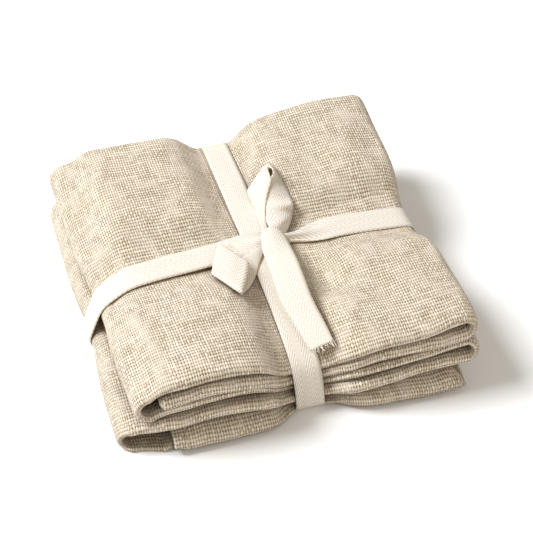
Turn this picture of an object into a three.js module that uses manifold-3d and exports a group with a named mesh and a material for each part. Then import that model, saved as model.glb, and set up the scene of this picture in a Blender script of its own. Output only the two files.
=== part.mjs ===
// A linen dish towel folded into a square bundle and tied crosswise with cotton tape.
// The towel is folded in thirds across its width, and then back and forth along its
// length into six plies, so every ply holds three layers of cloth.
// Millimetres. +X runs along the front edge, +Y to the back, +Z up.

import * as THREE from "three";
import { mergeVertices } from "three/addons/utils/BufferGeometryUtils.js";
import Module from "manifold-3d";

// Middle of the bundle's plan, which is the origin of the finished part
const PLAN_CENTRE = { x: -1.21, y: -2.16 };

// Cloth
const PLY_GAP = 0.7;
const PLY_THICKEST = 6.2;
const FOLD_PINCH = 0.82;
const FOLD_FULLEST = 0.86;
const FOLD_STEPS = 6;
const FOLD_NUDGE = 0.02;
const FOLD_BULGE = 0.6;
const PINCH_LENGTH = 10;
const CORNER_FAR = 26;
const CORNER_NEAR = 7;

// Cotton tape
const TAPE_WIDTH = 12.5;
const TAPE_THICK = 1.0;
const TAPE_CLEAR = 0.4;
const TAPE_RECESS = 2.5;
const TAPE_FLATTEN = 0.06;
const TAPE_STEP = 16;
const PRESS_FLAT = 7;
const PINCH = { x: 16.5, spread: 10, share: 0.62, above: 20 };

// Knot, and the three strips that leave it. lift is the height above the cloth.
const KNOT = { x: 12, y: 9.5, z: 5.0, at: { x: 6.2, y: 2.0, lift: 3.0 } };
const BOW = [
  { x: 5.5, y: 2.0, lift: 3.4, across: [0.9, -0.2, 0.3], width: 6.5 },
  { x: 6.5, y: 8.5, lift: 6.0, across: [0.8, -0.35, 0.45], width: 9.0 },
  { x: 8.6, y: 17.0, lift: 8.6, across: [0.6, -0.5, 0.62], width: 12.5 },
  { x: 11.0, y: 24.5, lift: 10.4, across: [0.52, -0.5, 0.68], width: 12.5 },
  { x: 14.0, y: 29.5, lift: 11.4, across: [0.4, -0.45, 0.8], width: 12.5 },
  { x: 17.0, y: 30.4, lift: 11.4, across: [0.0, -0.4, 0.92], width: 12.5 },
  { x: 19.0, y: 27.5, lift: 10.8, across: [-0.5, -0.2, 0.84], width: 12.5 },
  { x: 19.4, y: 20.5, lift: 9.4, across: [-0.85, 0.1, 0.5], width: 12.5 },
  { x: 17.6, y: 12.0, lift: 7.6, across: [-0.9, 0.25, 0.3], width: 12.0 },
  { x: 13.4, y: 5.4, lift: 5.2, across: [-0.8, 0.45, 0.2], width: 9.0 },
  { x: 8.6, y: 1.8, lift: 3.2, across: [-0.6, 0.7, 0.2], width: 6.5 },
];
const TAIL = [
  { x: 3.9, y: 6.6, lift: 2.6, across: [1, 0, 0.05], width: 9.0 },
  { x: 4.5, y: 5.0, lift: 5.0, across: [1, 0, 0.05], width: 9.8 },
  { x: 5.1, y: 1.6, lift: 6.1, across: [1, 0, 0.05], width: 10.4 },
  { x: 5.5, y: -3.0, lift: 5.6, across: [1, 0.05, 0.04], width: 11.0 },
  { x: 6.2, y: -9.0, lift: 4.6, across: [1, 0.08, 0.02], width: 12.0 },
  { x: 7.3, y: -19.0, lift: 4.2, across: [1, 0.1, 0], width: 12.5 },
  { x: 8.2, y: -32.0, lift: 4.3, across: [1, 0.1, 0], width: 12.5 },
  { x: 9.2, y: -45.0, lift: 4.9, across: [1, 0.12, 0], width: 12.5 },
  { x: 10.6, y: -57.0, lift: 5.4, across: [1, 0.14, 0], width: 12.5 },
  { x: 12.2, y: -68.0, lift: 6.0, across: [1, 0.2, 0.1], width: 12.5 },
];
const SHORT_END = [
  { x: 3.4, y: 1.4, lift: 3.0, across: [0.8, -0.6, 0], width: 8.0 },
  { x: -1.8, y: -5.8, lift: 4.3, across: [0.82, -0.57, 0], width: 11.0 },
  { x: -7.4, y: -14.8, lift: 3.9, across: [0.84, -0.54, 0.14], width: 12.5 },
  { x: -12.8, y: -22.8, lift: 3.3, across: [0.82, -0.57, 0], width: 12.5 },
  { x: -17.8, y: -29.0, lift: 2.8, across: [0.8, -0.6, -0.05], width: 12.5 },
  { x: -19.7, y: -31.3, lift: 4.1, across: [0.8, -0.6, -0.05], width: 12.5 },
  { x: -18.8, y: -28.8, lift: 5.5, across: [0.82, -0.57, 0], width: 12.5 },
  { x: -15.0, y: -20.0, lift: 6.4, across: [0.86, -0.5, 0.1], width: 12.5 },
  { x: -10.8, y: -11.4, lift: 7.2, across: [0.88, -0.47, 0.16], width: 12.5 },
];

// Plies in the order in which the cloth runs through them: the tongue is the end that
// is tucked under the top, the flap is the hemmed end that lies on the base.
// level counts the plies from the surface up, and front and back are the ply's edges.
const PLIES = [
  { name: "tongue", level: 4, pitch: 6.0, front: -80.0, back: 80.0, sag: 1.8, wave: 0.9, phase: 0.4 },
  { name: "top", level: 5, pitch: 5.0, front: -78.5, back: 79.0, sag: 2.1, wave: 0.6, phase: 1.7 },
  { name: "second", level: 3, pitch: 4.6, front: -79.5, back: 80.5, sag: 1.5, wave: 0.8, phase: 2.9 },
  { name: "third", level: 2, pitch: 6.6, front: -81.5, back: 80.0, sag: 1.2, wave: 0.9, phase: 4.1 },
  { name: "base", level: 0, pitch: 5.6, front: -76.0, back: 78.5, sag: 0.0, wave: 0.5, phase: 5.0 },
  { name: "flap", level: 1, pitch: 5.6, front: -84.6, back: 79.5, sag: 0.0, wave: 0.9, phase: 0.9 },
];

// Folds between one ply and the next. side is +1 on the right, and reach is how far
// the fold goes at the back and at the front. low above 1 sets its crease high.
const FOLDS = [
  { side: 1, back: 80.5, front: 80.5, low: 1.0, corner: 1.0 },
  { side: -1, back: -82.5, front: -72.5, low: 0.78, corner: 1.5 },
  { side: 1, back: 79.0, front: 81.0, low: 1.0, corner: 1.5 },
  { side: -1, back: -83.5, front: -81.5, low: 0.72, corner: 5.0 },
  { side: 1, back: 74.5, front: 73.5, low: 1.0, corner: 0.6 },
];

// Free ends of the cloth inside its folds
const TONGUE_END = { x: -61.5, slack: 0.34, fall: 15 };
const FLAP_END = { x: -60.0, slack: 0.4, fall: 16 };
const TIP_REACH = 2.4;
const TONGUE_TIP = [0.7, 0, -0.7];
const HEM_TIP = [0.55, -0.55];

// Height of a full stack of six plies, away from the tape
const PUFF_X = [-80, -60, -40, -20, 0, 20, 40, 60, 80];
const PUFF = [
  { y: -76, heights: [31.5, 36.5, 41.5, 41.0, 37.5, 36.5, 38.5, 40.0, 41.5] },
  { y: -40, heights: [34.0, 36.5, 39.5, 39.0, 38.0, 39.0, 40.0, 40.5, 40.5] },
  { y: 0, heights: [36.0, 38.0, 39.0, 39.0, 38.0, 39.0, 40.0, 40.0, 38.5] },
  { y: 40, heights: [40.0, 41.5, 42.5, 42.0, 41.0, 42.0, 44.0, 45.5, 43.5] },
  { y: 78, heights: [45.5, 42.5, 43.0, 42.0, 41.0, 44.0, 48.5, 51.5, 51.5] },
];

// Where the two tapes run, and the height to which they press the stack
const ACROSS = [
  { x: -82, y: -9.5, height: 31.0 },
  { x: -60, y: -6.0, height: 33.0 },
  { x: -20, y: -1.0, height: 33.0 },
  { x: 5, y: 1.5, height: 32.0 },
  { x: 45, y: 2.0, height: 32.5 },
  { x: 82, y: 1.5, height: 30.5 },
];
const LENGTHWISE = [
  { y: -80, x: 4.4, height: 21.5 },
  { y: -60, x: 4.0, height: 25.5 },
  { y: -30, x: 3.3, height: 29.5 },
  { y: 0, x: 2.7, height: 32.0 },
  { y: 45, x: 1.7, height: 33.5 },
  { y: 80, x: 1.0, height: 35.0 },
];
const TOP_SPREAD = 12;
const UNDER_SPREAD = 4;
const FRONT_DENT = { depth: 7.0, spread: 9 };
const BACK_DENT = { depth: 3.0, spread: 10 };
const SIDE_DENT = { depth: 2.0, spread: 10 };

// Front edges sag a little, and the flap's front edge fills out over the edge of the base
const SAG_START = -66;
const SAG_LENGTH = 14;
const BACK_SAG_START = 68;
const BACK_SAG_SHARE = 0.7;
const FLAP_ROLL = { start: -75, length: 3.5, foot: 0.6, slope: 3.0, slopeLength: 8 };
const ROLL_ENDS = { left: [-57.5, -53.5], right: [62.5, 57.5] };

// The base comes forward where the flap's roll does not cover its front edge
const BASE_FORWARD = { by: 7.0, left: [-56, -66], right: [62.5, 67.5] };

// Distances from a ply's front and back edges at which it rounds off
const ROUNDING = [
  { inset: 0, full: 0.34 },
  { inset: 0.9, full: 0.76 },
  { inset: 2.7, full: 1 },
];
const FLAP_ROOT_INSET = 8.5;

// Lines across the bundle from front to back. follow is how far a line keeps to the
// bend of the tape that runs across.
const LINES = [
  { y: -62, follow: 0 },
  { y: -46, follow: 0.3 },
  { y: -31, follow: 0.6 },
  { y: -18, follow: 0.85 },
  { y: -PRESS_FLAT, follow: 1 },
  { y: PRESS_FLAT, follow: 1 },
  { y: 18, follow: 0.85 },
  { y: 31, follow: 0.6 },
  { y: 46, follow: 0.3 },
  { y: 62, follow: 0 },
];

// Steps along a ply on each side of the lengthwise tape, and between them and its folds
const STEPS_EACH_SIDE = 6;
const STEP_REACH = 56;
const STEP_SPREAD = 1.1;
const STEP_MIDDLE = 2.5;
const STEPS_TO_LEFT = [0, 0.36, 0.7];
const STEPS_TO_RIGHT = [0.5, 1];

const clamp = (value) => Math.min(1, Math.max(0, value));
const mix = (a, b, t) => a + (b - a) * t;

function ease(from, to, value) {
  const t = clamp((value - from) / (to - from));
  return t * t * (3 - 2 * t);
}

// Smooth curve through evenly or unevenly spaced rows
function along(keys, values, at) {
  const last = keys.length - 1;
  if (at <= keys[0]) return values[0];
  if (at >= keys[last]) return values[last];
  let i = 0;
  while (at > keys[i + 1]) i += 1;
  const span = keys[i + 1] - keys[i];
  const t = (at - keys[i]) / span;
  const before = Math.max(0, i - 1);
  const after = Math.min(last, i + 2);
  const slopeIn = (values[i + 1] - values[before]) / (keys[i + 1] - keys[before]);
  const slopeOut = (values[after] - values[i]) / (keys[after] - keys[i]);
  const t2 = t * t;
  const t3 = t2 * t;
  return values[i] * (2 * t3 - 3 * t2 + 1) + values[i + 1] * (3 * t2 - 2 * t3)
    + span * (slopeIn * (t3 - 2 * t2 + t) + slopeOut * (t3 - t2));
}

const column = (rows, key) => rows.map((row) => row[key]);
const acrossY = (x) => along(column(ACROSS, "x"), column(ACROSS, "y"), x);
const acrossHeight = (x) => along(column(ACROSS, "x"), column(ACROSS, "height"), x);
const lengthX = (y) => along(column(LENGTHWISE, "y"), column(LENGTHWISE, "x"), y);
const lengthHeight = (y) => along(column(LENGTHWISE, "y"), column(LENGTHWISE, "height"), y);

// How hard the tape presses at this distance from its middle: all of it under the tape
function press(distance, spread) {
  const beyond = Math.max(0, Math.abs(distance) - PRESS_FLAT);
  return Math.exp(-((beyond / spread) ** 2));
}

function freeHeight(x, y) {
  const heights = PUFF.map((row) => along(PUFF_X, row.heights, x));
  return along(column(PUFF, "y"), heights, y);
}

// Height of the full stack with the tapes pressing valleys into it
function stackHeight(x, y) {
  const across = press(y - acrossY(x), TOP_SPREAD);
  const lengthwise = press(x - lengthX(y), TOP_SPREAD);
  const pressed = 1 - (1 - across) * (1 - lengthwise);
  const valley = (acrossHeight(x) * across + lengthHeight(y) * lengthwise) / (across + lengthwise + 1e-9);
  return mix(freeHeight(x, y), valley, pressed);
}

// Shallow channel under the bundle where the tapes pass
function channel(x, y) {
  const across = press(y - acrossY(x), UNDER_SPREAD);
  const lengthwise = press(x - lengthX(y), UNDER_SPREAD);
  return TAPE_RECESS * Math.max(across, lengthwise);
}

// Share of its pitch that a ply takes up at x, beyond the free end that it may have
function presence(ply, x) {
  const end = { tongue: TONGUE_END, flap: FLAP_END }[ply.name];
  return end ? mix(end.slack, 1, ease(end.x - end.fall, end.x, x)) : 1;
}

const frontDent = (x) => FRONT_DENT.depth * press(x - lengthX(-80), FRONT_DENT.spread);
const backDent = (x) => BACK_DENT.depth * press(x - lengthX(80), BACK_DENT.spread);

// Depth by which a ply's edges hang below its level
function sagging(ply, x, y) {
  const front = clamp((SAG_START - (y - frontDent(x))) / SAG_LENGTH);
  const back = clamp((y + backDent(x) - BACK_SAG_START) / SAG_LENGTH);
  return ply.sag * (front * front + BACK_SAG_SHARE * back * back);
}

// Middle height and half thickness of one ply at a point of the plan
function plyAt(ply, x, y) {
  const total = PLIES.reduce((sum, each) => sum + each.pitch, 0);
  const scale = stackHeight(x, y) / total;
  const below = PLIES.filter((each) => each.level < ply.level);
  let low = below.reduce((sum, each) => sum + each.pitch * presence(each, x), 0) * scale;
  const high = low + ply.pitch * scale - PLY_GAP;
  if (ply.level === 0) low = channel(x, y);
  const half = Math.min(high - low, PLY_THICKEST) / 2;
  let middle = (low + high) / 2;
  if (ply.level === 0) middle = low + half;
  if (ply.level === PLIES.length - 1) middle = high - half;
  if (ply.name === "flap") return rolledFlap(middle, half, x, y);
  return { middle: middle - sagging(ply, x, y), half };
}

// The flap's front edge rolls down to the floor in front of the base
function rolledFlap(middle, half, x, y) {
  const reach = y - frontDent(x);
  const whole = ease(...ROLL_ENDS.left, x) * ease(...ROLL_ENDS.right, x);
  const down = whole * ease(FLAP_ROLL.start, FLAP_ROLL.start - FLAP_ROLL.length, reach);
  const foot = FLAP_ROLL.foot + channel(x, y);
  const slope = FLAP_ROLL.slope * whole * clamp((FLAP_ROLL.start - reach) / FLAP_ROLL.slopeLength);
  const low = mix(middle - half, foot, down);
  const high = middle + half - slope;
  return { middle: (low + high) / 2, half: (high - low) / 2 };
}

// Front and back edge of a ply at x
function edgesOf(ply, x) {
  const ripple = ply.wave * Math.sin(x / 17 + ply.phase);
  const uncovered = ply.name === "base" ? ease(...BASE_FORWARD.left, x) + ease(...BASE_FORWARD.right, x) : 0;
  return {
    front: ply.front + ripple + frontDent(x) - BASE_FORWARD.by * uncovered,
    back: ply.back + ripple - backDent(x),
  };
}

// Shape of one fold at y: where it starts to turn, and the plies on both sides of it
function foldAt(index, y) {
  const fold = FOLDS[index];
  const reach = mix(fold.front, fold.back, clamp((y + 80) / 160));
  const outer = reach - fold.side * SIDE_DENT.depth * press(y - acrossY(fold.side * 82), SIDE_DENT.spread);
  let start = outer - fold.side * PLY_THICKEST;
  let from;
  let to;
  let radius;
  for (let pass = 0; pass < 3; pass += 1) {
    from = plyAt(PLIES[index], start, y);
    to = plyAt(PLIES[index + 1], start, y);
    radius = Math.abs(from.middle - to.middle) / 2;
    from.half = Math.min(from.half * FOLD_PINCH, radius * FOLD_FULLEST);
    to.half = Math.min(to.half * FOLD_PINCH, radius * FOLD_FULLEST);
    start = outer - fold.side * (radius + (from.half + to.half) / 2);
  }
  return { side: fold.side, start, from, to, radius, low: fold.low, corner: fold.corner };
}

// Points along the cloth: runs of the plies, and the folds between them
function clothSteps() {
  const steps = [];
  PLIES.forEach((ply, index) => {
    const heading = index % 2 === 0 ? 1 : -1;
    const run = [];
    const leftFree = index === 0 || index === PLIES.length - 1;
    (leftFree ? [0] : STEPS_TO_LEFT).forEach((t) => run.push({ kind: "left", t }));
    for (let i = -STEPS_EACH_SIDE; i <= STEPS_EACH_SIDE; i += 1) {
      if (i !== 0) run.push({ kind: "station", i });
    }
    STEPS_TO_RIGHT.forEach((t) => run.push({ kind: "right", t }));
    if (heading < 0) run.reverse();
    run.forEach((step) => steps.push({ ...step, index, heading }));
    if (index < FOLDS.length) {
      for (let i = 1; i < FOLD_STEPS; i += 1) steps.push({ kind: "fold", index, heading, t: i / FOLD_STEPS });
    }
  });
  return steps;
}

const stationX = (i, y) => {
  const share = (Math.abs(i) - 1) / (STEPS_EACH_SIDE - 1);
  const away = PRESS_FLAT + (STEP_REACH - PRESS_FLAT) * share ** STEP_SPREAD;
  return mix(lengthX(y), STEP_MIDDLE, share) + Math.sign(i) * away;
};

// Left and right end of a ply's run at y
function runEnds(index, y) {
  const leftFold = index % 2 === 0 ? index - 1 : index;
  const rightFold = index % 2 === 0 ? index : index - 1;
  const leftFree = index === 0 ? TONGUE_END.x : FLAP_END.x;
  const left = index === 0 || index === PLIES.length - 1 ? null : foldAt(leftFold, y);
  const right = foldAt(rightFold, y);
  return { left, right, leftX: left ? left.start : leftFree + TIP_REACH, rightX: right.start };
}

// Middle point, half thickness and left-hand normal of the cloth at one step and y
function clothAt(step, y) {
  if (step.kind === "fold") {
    const fold = foldAt(step.index, y);
    const place = (t) => {
      const turn = Math.PI * clamp(t);
      const down = ((1 - Math.cos(turn)) / 2) ** fold.low;
      return {
        x: fold.start + fold.side * fold.radius * Math.sin(turn),
        z: mix(fold.from.middle, fold.to.middle, down),
      };
    };
    const here = place(step.t);
    const before = place(step.t - FOLD_NUDGE);
    const after = place(step.t + FOLD_NUDGE);
    const length = Math.hypot(after.x - before.x, after.z - before.z);
    return {
      x: here.x,
      z: here.z,
      half: mix(fold.from.half, fold.to.half, step.t),
      normal: { x: -(after.z - before.z) / length, z: (after.x - before.x) / length },
    };
  }
  const { left, right, leftX, rightX } = runEnds(step.index, y);
  const first = stationX(-STEPS_EACH_SIDE, y);
  const last = stationX(STEPS_EACH_SIDE, y);
  let x = step.kind === "station" ? stationX(step.i, y) : 0;
  if (step.kind === "left") x = mix(leftX, first, step.t);
  if (step.kind === "right") x = mix(last, rightX, step.t);
  const { middle, half } = plyAt(PLIES[step.index], x, y);
  const ends = [[left, leftX], [right, rightX]];
  let pinched = half;
  ends.forEach(([fold, end]) => {
    if (!fold) return;
    const own = fold === right ? step.index % 2 === 0 : step.index % 2 === 1;
    const target = own ? fold.from.half : fold.to.half;
    pinched = mix(target, pinched, ease(0, PINCH_LENGTH, Math.abs(x - end)));
  });
  return { x, z: middle, half: pinched, normal: { x: 0, z: step.heading } };
}

// Plan position of a step's front and back edge
function edgesAt(step) {
  const probe = clothAt(step, SAG_START);
  const own = edgesOf(PLIES[step.index], probe.x);
  if (step.kind !== "fold") {
    const corners = runCorners(step.index, probe.x);
    return { front: own.front + corners, back: own.back - corners };
  }
  const next = edgesOf(PLIES[step.index + 1], probe.x);
  const corner = FOLDS[step.index].corner;
  const bulge = Math.sin(Math.PI * step.t) * FOLD_BULGE;
  return {
    front: mix(own.front, next.front, step.t) + corner * (1 + bulge),
    back: mix(own.back, next.back, step.t) - corner * (1 + bulge),
  };
}

// How far a ply's edges draw in as they come near a fold
function runCorners(index, x) {
  const near = FOLDS.filter((fold, i) => i === index || i === index - 1);
  return near.reduce((sum, fold) => {
    const distance = (fold.front - x) * fold.side;
    return sum + fold.corner * ease(CORNER_FAR, CORNER_NEAR, distance);
  }, 0);
}

// Lines of a step from its front edge to its back edge, with the share of full thickness
function linesAt(step) {
  const edges = edgesAt(step);
  const lines = [];
  ROUNDING.forEach(({ inset, full }) => lines.push({ y: edges.front + inset, full }));
  lines.push({ y: edges.front + FLAP_ROOT_INSET, full: 1 });
  LINES.forEach(({ y, follow }) => {
    const x = clothAt(step, y).x;
    lines.push({ y: y + follow * acrossY(x), full: 1 });
  });
  [...ROUNDING].reverse().forEach(({ inset, full }) => lines.push({ y: edges.back - inset, full }));
  return lines;
}

// Closed outline of the cloth on one line: its left side, the hem, its right side, the tongue's tip
function clothRing(steps, lines, j) {
  const left = [];
  const right = [];
  steps.forEach((step, i) => {
    const { y, full } = lines[i][j];
    const at = clothAt(step, y);
    const half = at.half * full;
    left.push([at.x + at.normal.x * half, y, at.z + at.normal.z * half]);
    right.push([at.x - at.normal.x * half, y, at.z - at.normal.z * half]);
  });
  const hem = tipPoints(left.at(-1), right.at(-1), HEM_TIP, () => 1);
  const tongue = tipPoints(right[0], left[0], TONGUE_TIP, (share) => Math.sqrt(1 - share * share));
  return { left, right, hem, tongue };
}

// Points round the left free end of a ply, from one of its sides to the other
function tipPoints(from, to, shares, bulge) {
  return shares.map((share) => {
    const [x, y, z] = from.map((value, axis) => mix(value, to[axis], (1 - share) / 2));
    return [x - TIP_REACH * bulge(share), y, z];
  });
}

function towelMesh() {
  const steps = clothSteps();
  const lines = steps.map((step) => linesAt(step));
  const count = lines[0].length;
  const rings = [];
  for (let j = 0; j < count; j += 1) {
    const ring = clothRing(steps, lines, j);
    rings.push([...ring.left, ...ring.hem, ...ring.right.reverse(), ...ring.tongue]);
  }
  const size = rings[0].length;
  const triangles = [];
  for (let j = 0; j + 1 < count; j += 1) {
    for (let i = 0; i < size; i += 1) {
      const next = (i + 1) % size;
      quad(triangles, j * size + i, j * size + next, (j + 1) * size + next, (j + 1) * size + i);
    }
  }
  capOf(steps.length, size).forEach(([a, b, c]) => {
    const back = (count - 1) * size;
    triangles.push([a, c, b], [back + a, back + b, back + c]);
  });
  return closedGeometry(rings.flat(), triangles);
}

// Triangles that close a ring across the thickness of the cloth
function capOf(stepCount, size) {
  const cap = [];
  const rightOf = (i) => stepCount + HEM_TIP.length + (stepCount - 1 - i);
  for (let i = 0; i + 1 < stepCount; i += 1) {
    cap.push([i, i + 1, rightOf(i + 1)]);
    cap.push([i, rightOf(i + 1), rightOf(i)]);
  }
  const lastLeft = stepCount - 1;
  for (let i = lastLeft; i + 2 <= rightOf(lastLeft); i += 1) cap.push([i, i + 1, rightOf(lastLeft)]);
  for (let i = rightOf(0); i + 1 < size; i += 1) cap.push([i, i + 1, 0]);
  return cap;
}

function quad(triangles, a, b, c, d) {
  triangles.push([a, b, c], [a, c, d]);
}

// Geometry with its faces pointing out
function closedGeometry(points, triangles) {
  let volume = 0;
  triangles.forEach(([a, b, c]) => {
    const [p, q, r] = [a, b, c].map((index) => new THREE.Vector3(...points[index]));
    volume += p.dot(q.cross(r));
  });
  const facing = volume < 0 ? triangles.map(([a, b, c]) => [a, c, b]) : triangles;
  const geometry = new THREE.BufferGeometry();
  geometry.setAttribute("position", new THREE.Float32BufferAttribute(points.flat(), 3));
  geometry.setIndex(facing.flat());
  return geometry;
}

// Convex outline of flat points, which is the way that a taut tape runs round them
function tautOutline(points) {
  const sorted = [...points].sort((p, q) => p[0] - q[0] || p[1] - q[1]);
  const turn = (o, a, b) => (a[0] - o[0]) * (b[1] - o[1]) - (a[1] - o[1]) * (b[0] - o[0]);
  const chain = (list) => {
    const kept = [];
    list.forEach((point) => {
      while (kept.length > 1 && turn(kept.at(-2), kept.at(-1), point) <= 0) kept.pop();
      kept.push(point);
    });
    kept.pop();
    return kept;
  };
  return divided(thinned([...chain(sorted), ...chain(sorted.reverse())]));
}

// The same outline with its long sides split, so that a band can bend along them
function divided(outline) {
  return outline.flatMap((point, i) => {
    const next = outline[(i + 1) % outline.length];
    const parts = Math.ceil(Math.hypot(next[0] - point[0], next[1] - point[1]) / TAPE_STEP);
    const pointAt = (t) => [mix(point[0], next[0], t), mix(point[1], next[1], t)];
    return Array.from({ length: parts }, (_, k) => pointAt(k / parts));
  });
}

// The same outline without the points that hardly bend it
function thinned(outline) {
  const away = (p, a, b) => {
    const length = Math.hypot(b[0] - a[0], b[1] - a[1]);
    return Math.abs((b[0] - a[0]) * (p[1] - a[1]) - (b[1] - a[1]) * (p[0] - a[0])) / length;
  };
  const kept = [...outline];
  for (let i = 0; i < kept.length;) {
    const count = kept.length;
    const bend = away(kept[i], kept[(i + count - 1) % count], kept[(i + 1) % count]);
    if (bend < TAPE_FLATTEN) kept.splice(i, 1);
    else i += 1;
  }
  return kept;
}

// The outline moved outwards by a distance
function spaced(outline, distance) {
  const count = outline.length;
  return outline.map((point, i) => {
    const before = outline[(i + count - 1) % count];
    const after = outline[(i + 1) % count];
    const normals = [[before, point], [point, after]].map(([a, b]) => {
      const length = Math.hypot(b[0] - a[0], b[1] - a[1]);
      return [(b[1] - a[1]) / length, (a[0] - b[0]) / length];
    });
    const sum = [normals[0][0] + normals[1][0], normals[0][1] + normals[1][1]];
    const scale = (2 * distance) / (sum[0] ** 2 + sum[1] ** 2);
    return [point[0] + sum[0] * scale, point[1] + sum[1] * scale];
  });
}

// Cloth under the tape that runs across, seen along Y
function acrossSection(steps) {
  const points = [];
  [-0.5, 0, 0.5].forEach((share) => {
    steps.forEach((step) => {
      const rough = clothAt(step, acrossY(0)).x;
      const at = clothAt(step, acrossY(rough) + share * TAPE_WIDTH);
      [-1, 1].forEach((sign) => {
        points.push([at.x + sign * at.normal.x * at.half, at.z + sign * at.normal.z * at.half]);
      });
    });
  });
  return points;
}

// Cloth under the lengthwise tape, seen along X
function lengthSection() {
  const points = [];
  [-0.5, 0, 0.5].forEach((share) => {
    PLIES.forEach((ply, index) => {
      const step = { kind: "station", i: share < 0 ? -1 : 1, index, heading: 1 };
      linesAt(step).forEach(({ y, full }) => {
        const { middle, half } = plyAt(ply, lengthX(y) + share * TAPE_WIDTH, y);
        [-1, 1].forEach((sign) => points.push([y, middle + sign * half * full]));
      });
    });
  });
  return points;
}

// Closed band round an outline. place turns a flat point into the middle of the band,
// across is the direction of its width, and widthAt is its width there.
function bandRound(section, place, across, widthAt) {
  const outline = tautOutline(section);
  const inner = spaced(outline, TAPE_CLEAR);
  const outer = spaced(outline, TAPE_CLEAR + TAPE_THICK);
  const points = [];
  outline.forEach((_, i) => {
    [[inner[i], -0.5], [inner[i], 0.5], [outer[i], 0.5], [outer[i], -0.5]].forEach(([flat, share]) => {
      const offset = share * widthAt(flat);
      const middle = place(flat);
      points.push(middle.map((value, axis) => value + across[axis] * offset));
    });
  });
  const triangles = [];
  for (let i = 0; i < outline.length; i += 1) {
    const next = (i + 1) % outline.length;
    for (let k = 0; k < 4; k += 1) {
      const turn = (k + 1) % 4;
      quad(triangles, i * 4 + k, i * 4 + turn, next * 4 + turn, next * 4 + k);
    }
  }
  return closedGeometry(points, triangles);
}

// The tape narrows where the knot pinches it, on top of the bundle
function acrossWidth([x, z]) {
  if (z < PINCH.above) return TAPE_WIDTH;
  return TAPE_WIDTH * (1 - PINCH.share * Math.exp(-(((x - PINCH.x) / PINCH.spread) ** 2)));
}

// Height of the cloth's upper face
function topOf(x, y) {
  const { middle, half } = plyAt(PLIES[1], x, y);
  return middle + half;
}

// Strip of tape with two free ends, along rows that give its middle, its height above
// the cloth and the direction of its width
function strip(rows) {
  const middles = rows.map(({ x, y, lift }) => new THREE.Vector3(x, y, topOf(x, y) + lift));
  const points = [];
  rows.forEach((row, i) => {
    const before = middles[Math.max(0, i - 1)];
    const after = middles[Math.min(rows.length - 1, i + 1)];
    const heading = after.clone().sub(before).normalize();
    const across = new THREE.Vector3(...row.across);
    across.addScaledVector(heading, -across.dot(heading)).normalize();
    const normal = heading.clone().cross(across);
    [[-1, -1], [1, -1], [1, 1], [-1, 1]].forEach(([side, face]) => {
      const point = middles[i].clone();
      point.addScaledVector(across, (side * row.width) / 2).addScaledVector(normal, (face * TAPE_THICK) / 2);
      points.push(point.toArray());
    });
  });
  const triangles = [];
  for (let i = 0; i + 1 < rows.length; i += 1) {
    for (let k = 0; k < 4; k += 1) {
      const turn = (k + 1) % 4;
      quad(triangles, i * 4 + k, i * 4 + turn, (i + 1) * 4 + turn, (i + 1) * 4 + k);
    }
  }
  const last = (rows.length - 1) * 4;
  quad(triangles, 3, 2, 1, 0);
  quad(triangles, last, last + 1, last + 2, last + 3);
  return closedGeometry(points, triangles);
}

// Pulled knot where the tapes cross
function knotCore() {
  const core = mergeVertices(stripped(new THREE.SphereGeometry(1, 16, 10)));
  core.scale(KNOT.x / 2, KNOT.y / 2, KNOT.z / 2);
  core.translate(KNOT.at.x, KNOT.at.y, topOf(KNOT.at.x, KNOT.at.y) + KNOT.at.lift);
  return core;
}

function stripped(source) {
  source.deleteAttribute("normal");
  source.deleteAttribute("uv");
  return source;
}

const wasm = await Module();
wasm.setup();

function solidOf(source) {
  const vertProperties = new Float32Array(source.attributes.position.array);
  const triVerts = new Uint32Array(source.index.array);
  return new wasm.Manifold(new wasm.Mesh({ numProp: 3, vertProperties, triVerts }));
}

function tapeMesh() {
  const steps = clothSteps();
  const pieces = [
    bandRound(acrossSection(steps), ([x, z]) => [x, acrossY(x), z], [0, 1, 0], acrossWidth),
    bandRound(lengthSection(), ([y, z]) => [lengthX(y), y, z], [1, 0, 0], () => TAPE_WIDTH),
    knotCore(),
    strip(BOW),
    strip(TAIL),
    strip(SHORT_END),
  ];
  const joined = pieces.map(solidOf).reduce((sum, piece) => sum.add(piece));
  const { vertProperties, triVerts } = joined.getMesh();
  const result = new THREE.BufferGeometry();
  result.setAttribute("position", new THREE.Float32BufferAttribute(vertProperties, 3));
  result.setIndex([...triVerts]);
  return result;
}

function piece(name, shape, material) {
  shape.computeVertexNormals();
  const mesh = new THREE.Mesh(shape, material);
  mesh.name = name;
  return mesh;
}

const linen = new THREE.MeshStandardMaterial({ color: 0xd3c4ab, roughness: 0.93, metalness: 0 });
const cotton = new THREE.MeshStandardMaterial({ color: 0xf2ebdf, roughness: 0.85, metalness: 0 });

const bundle = new THREE.Group();
bundle.position.set(-PLAN_CENTRE.x, -PLAN_CENTRE.y, 0);
bundle.add(piece("towel", towelMesh(), linen));
bundle.add(piece("tape", tapeMesh(), cotton));
export default bundle;
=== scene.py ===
import functools
import math

import bpy
import numpy as np
from mathutils import Matrix, Vector


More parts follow.
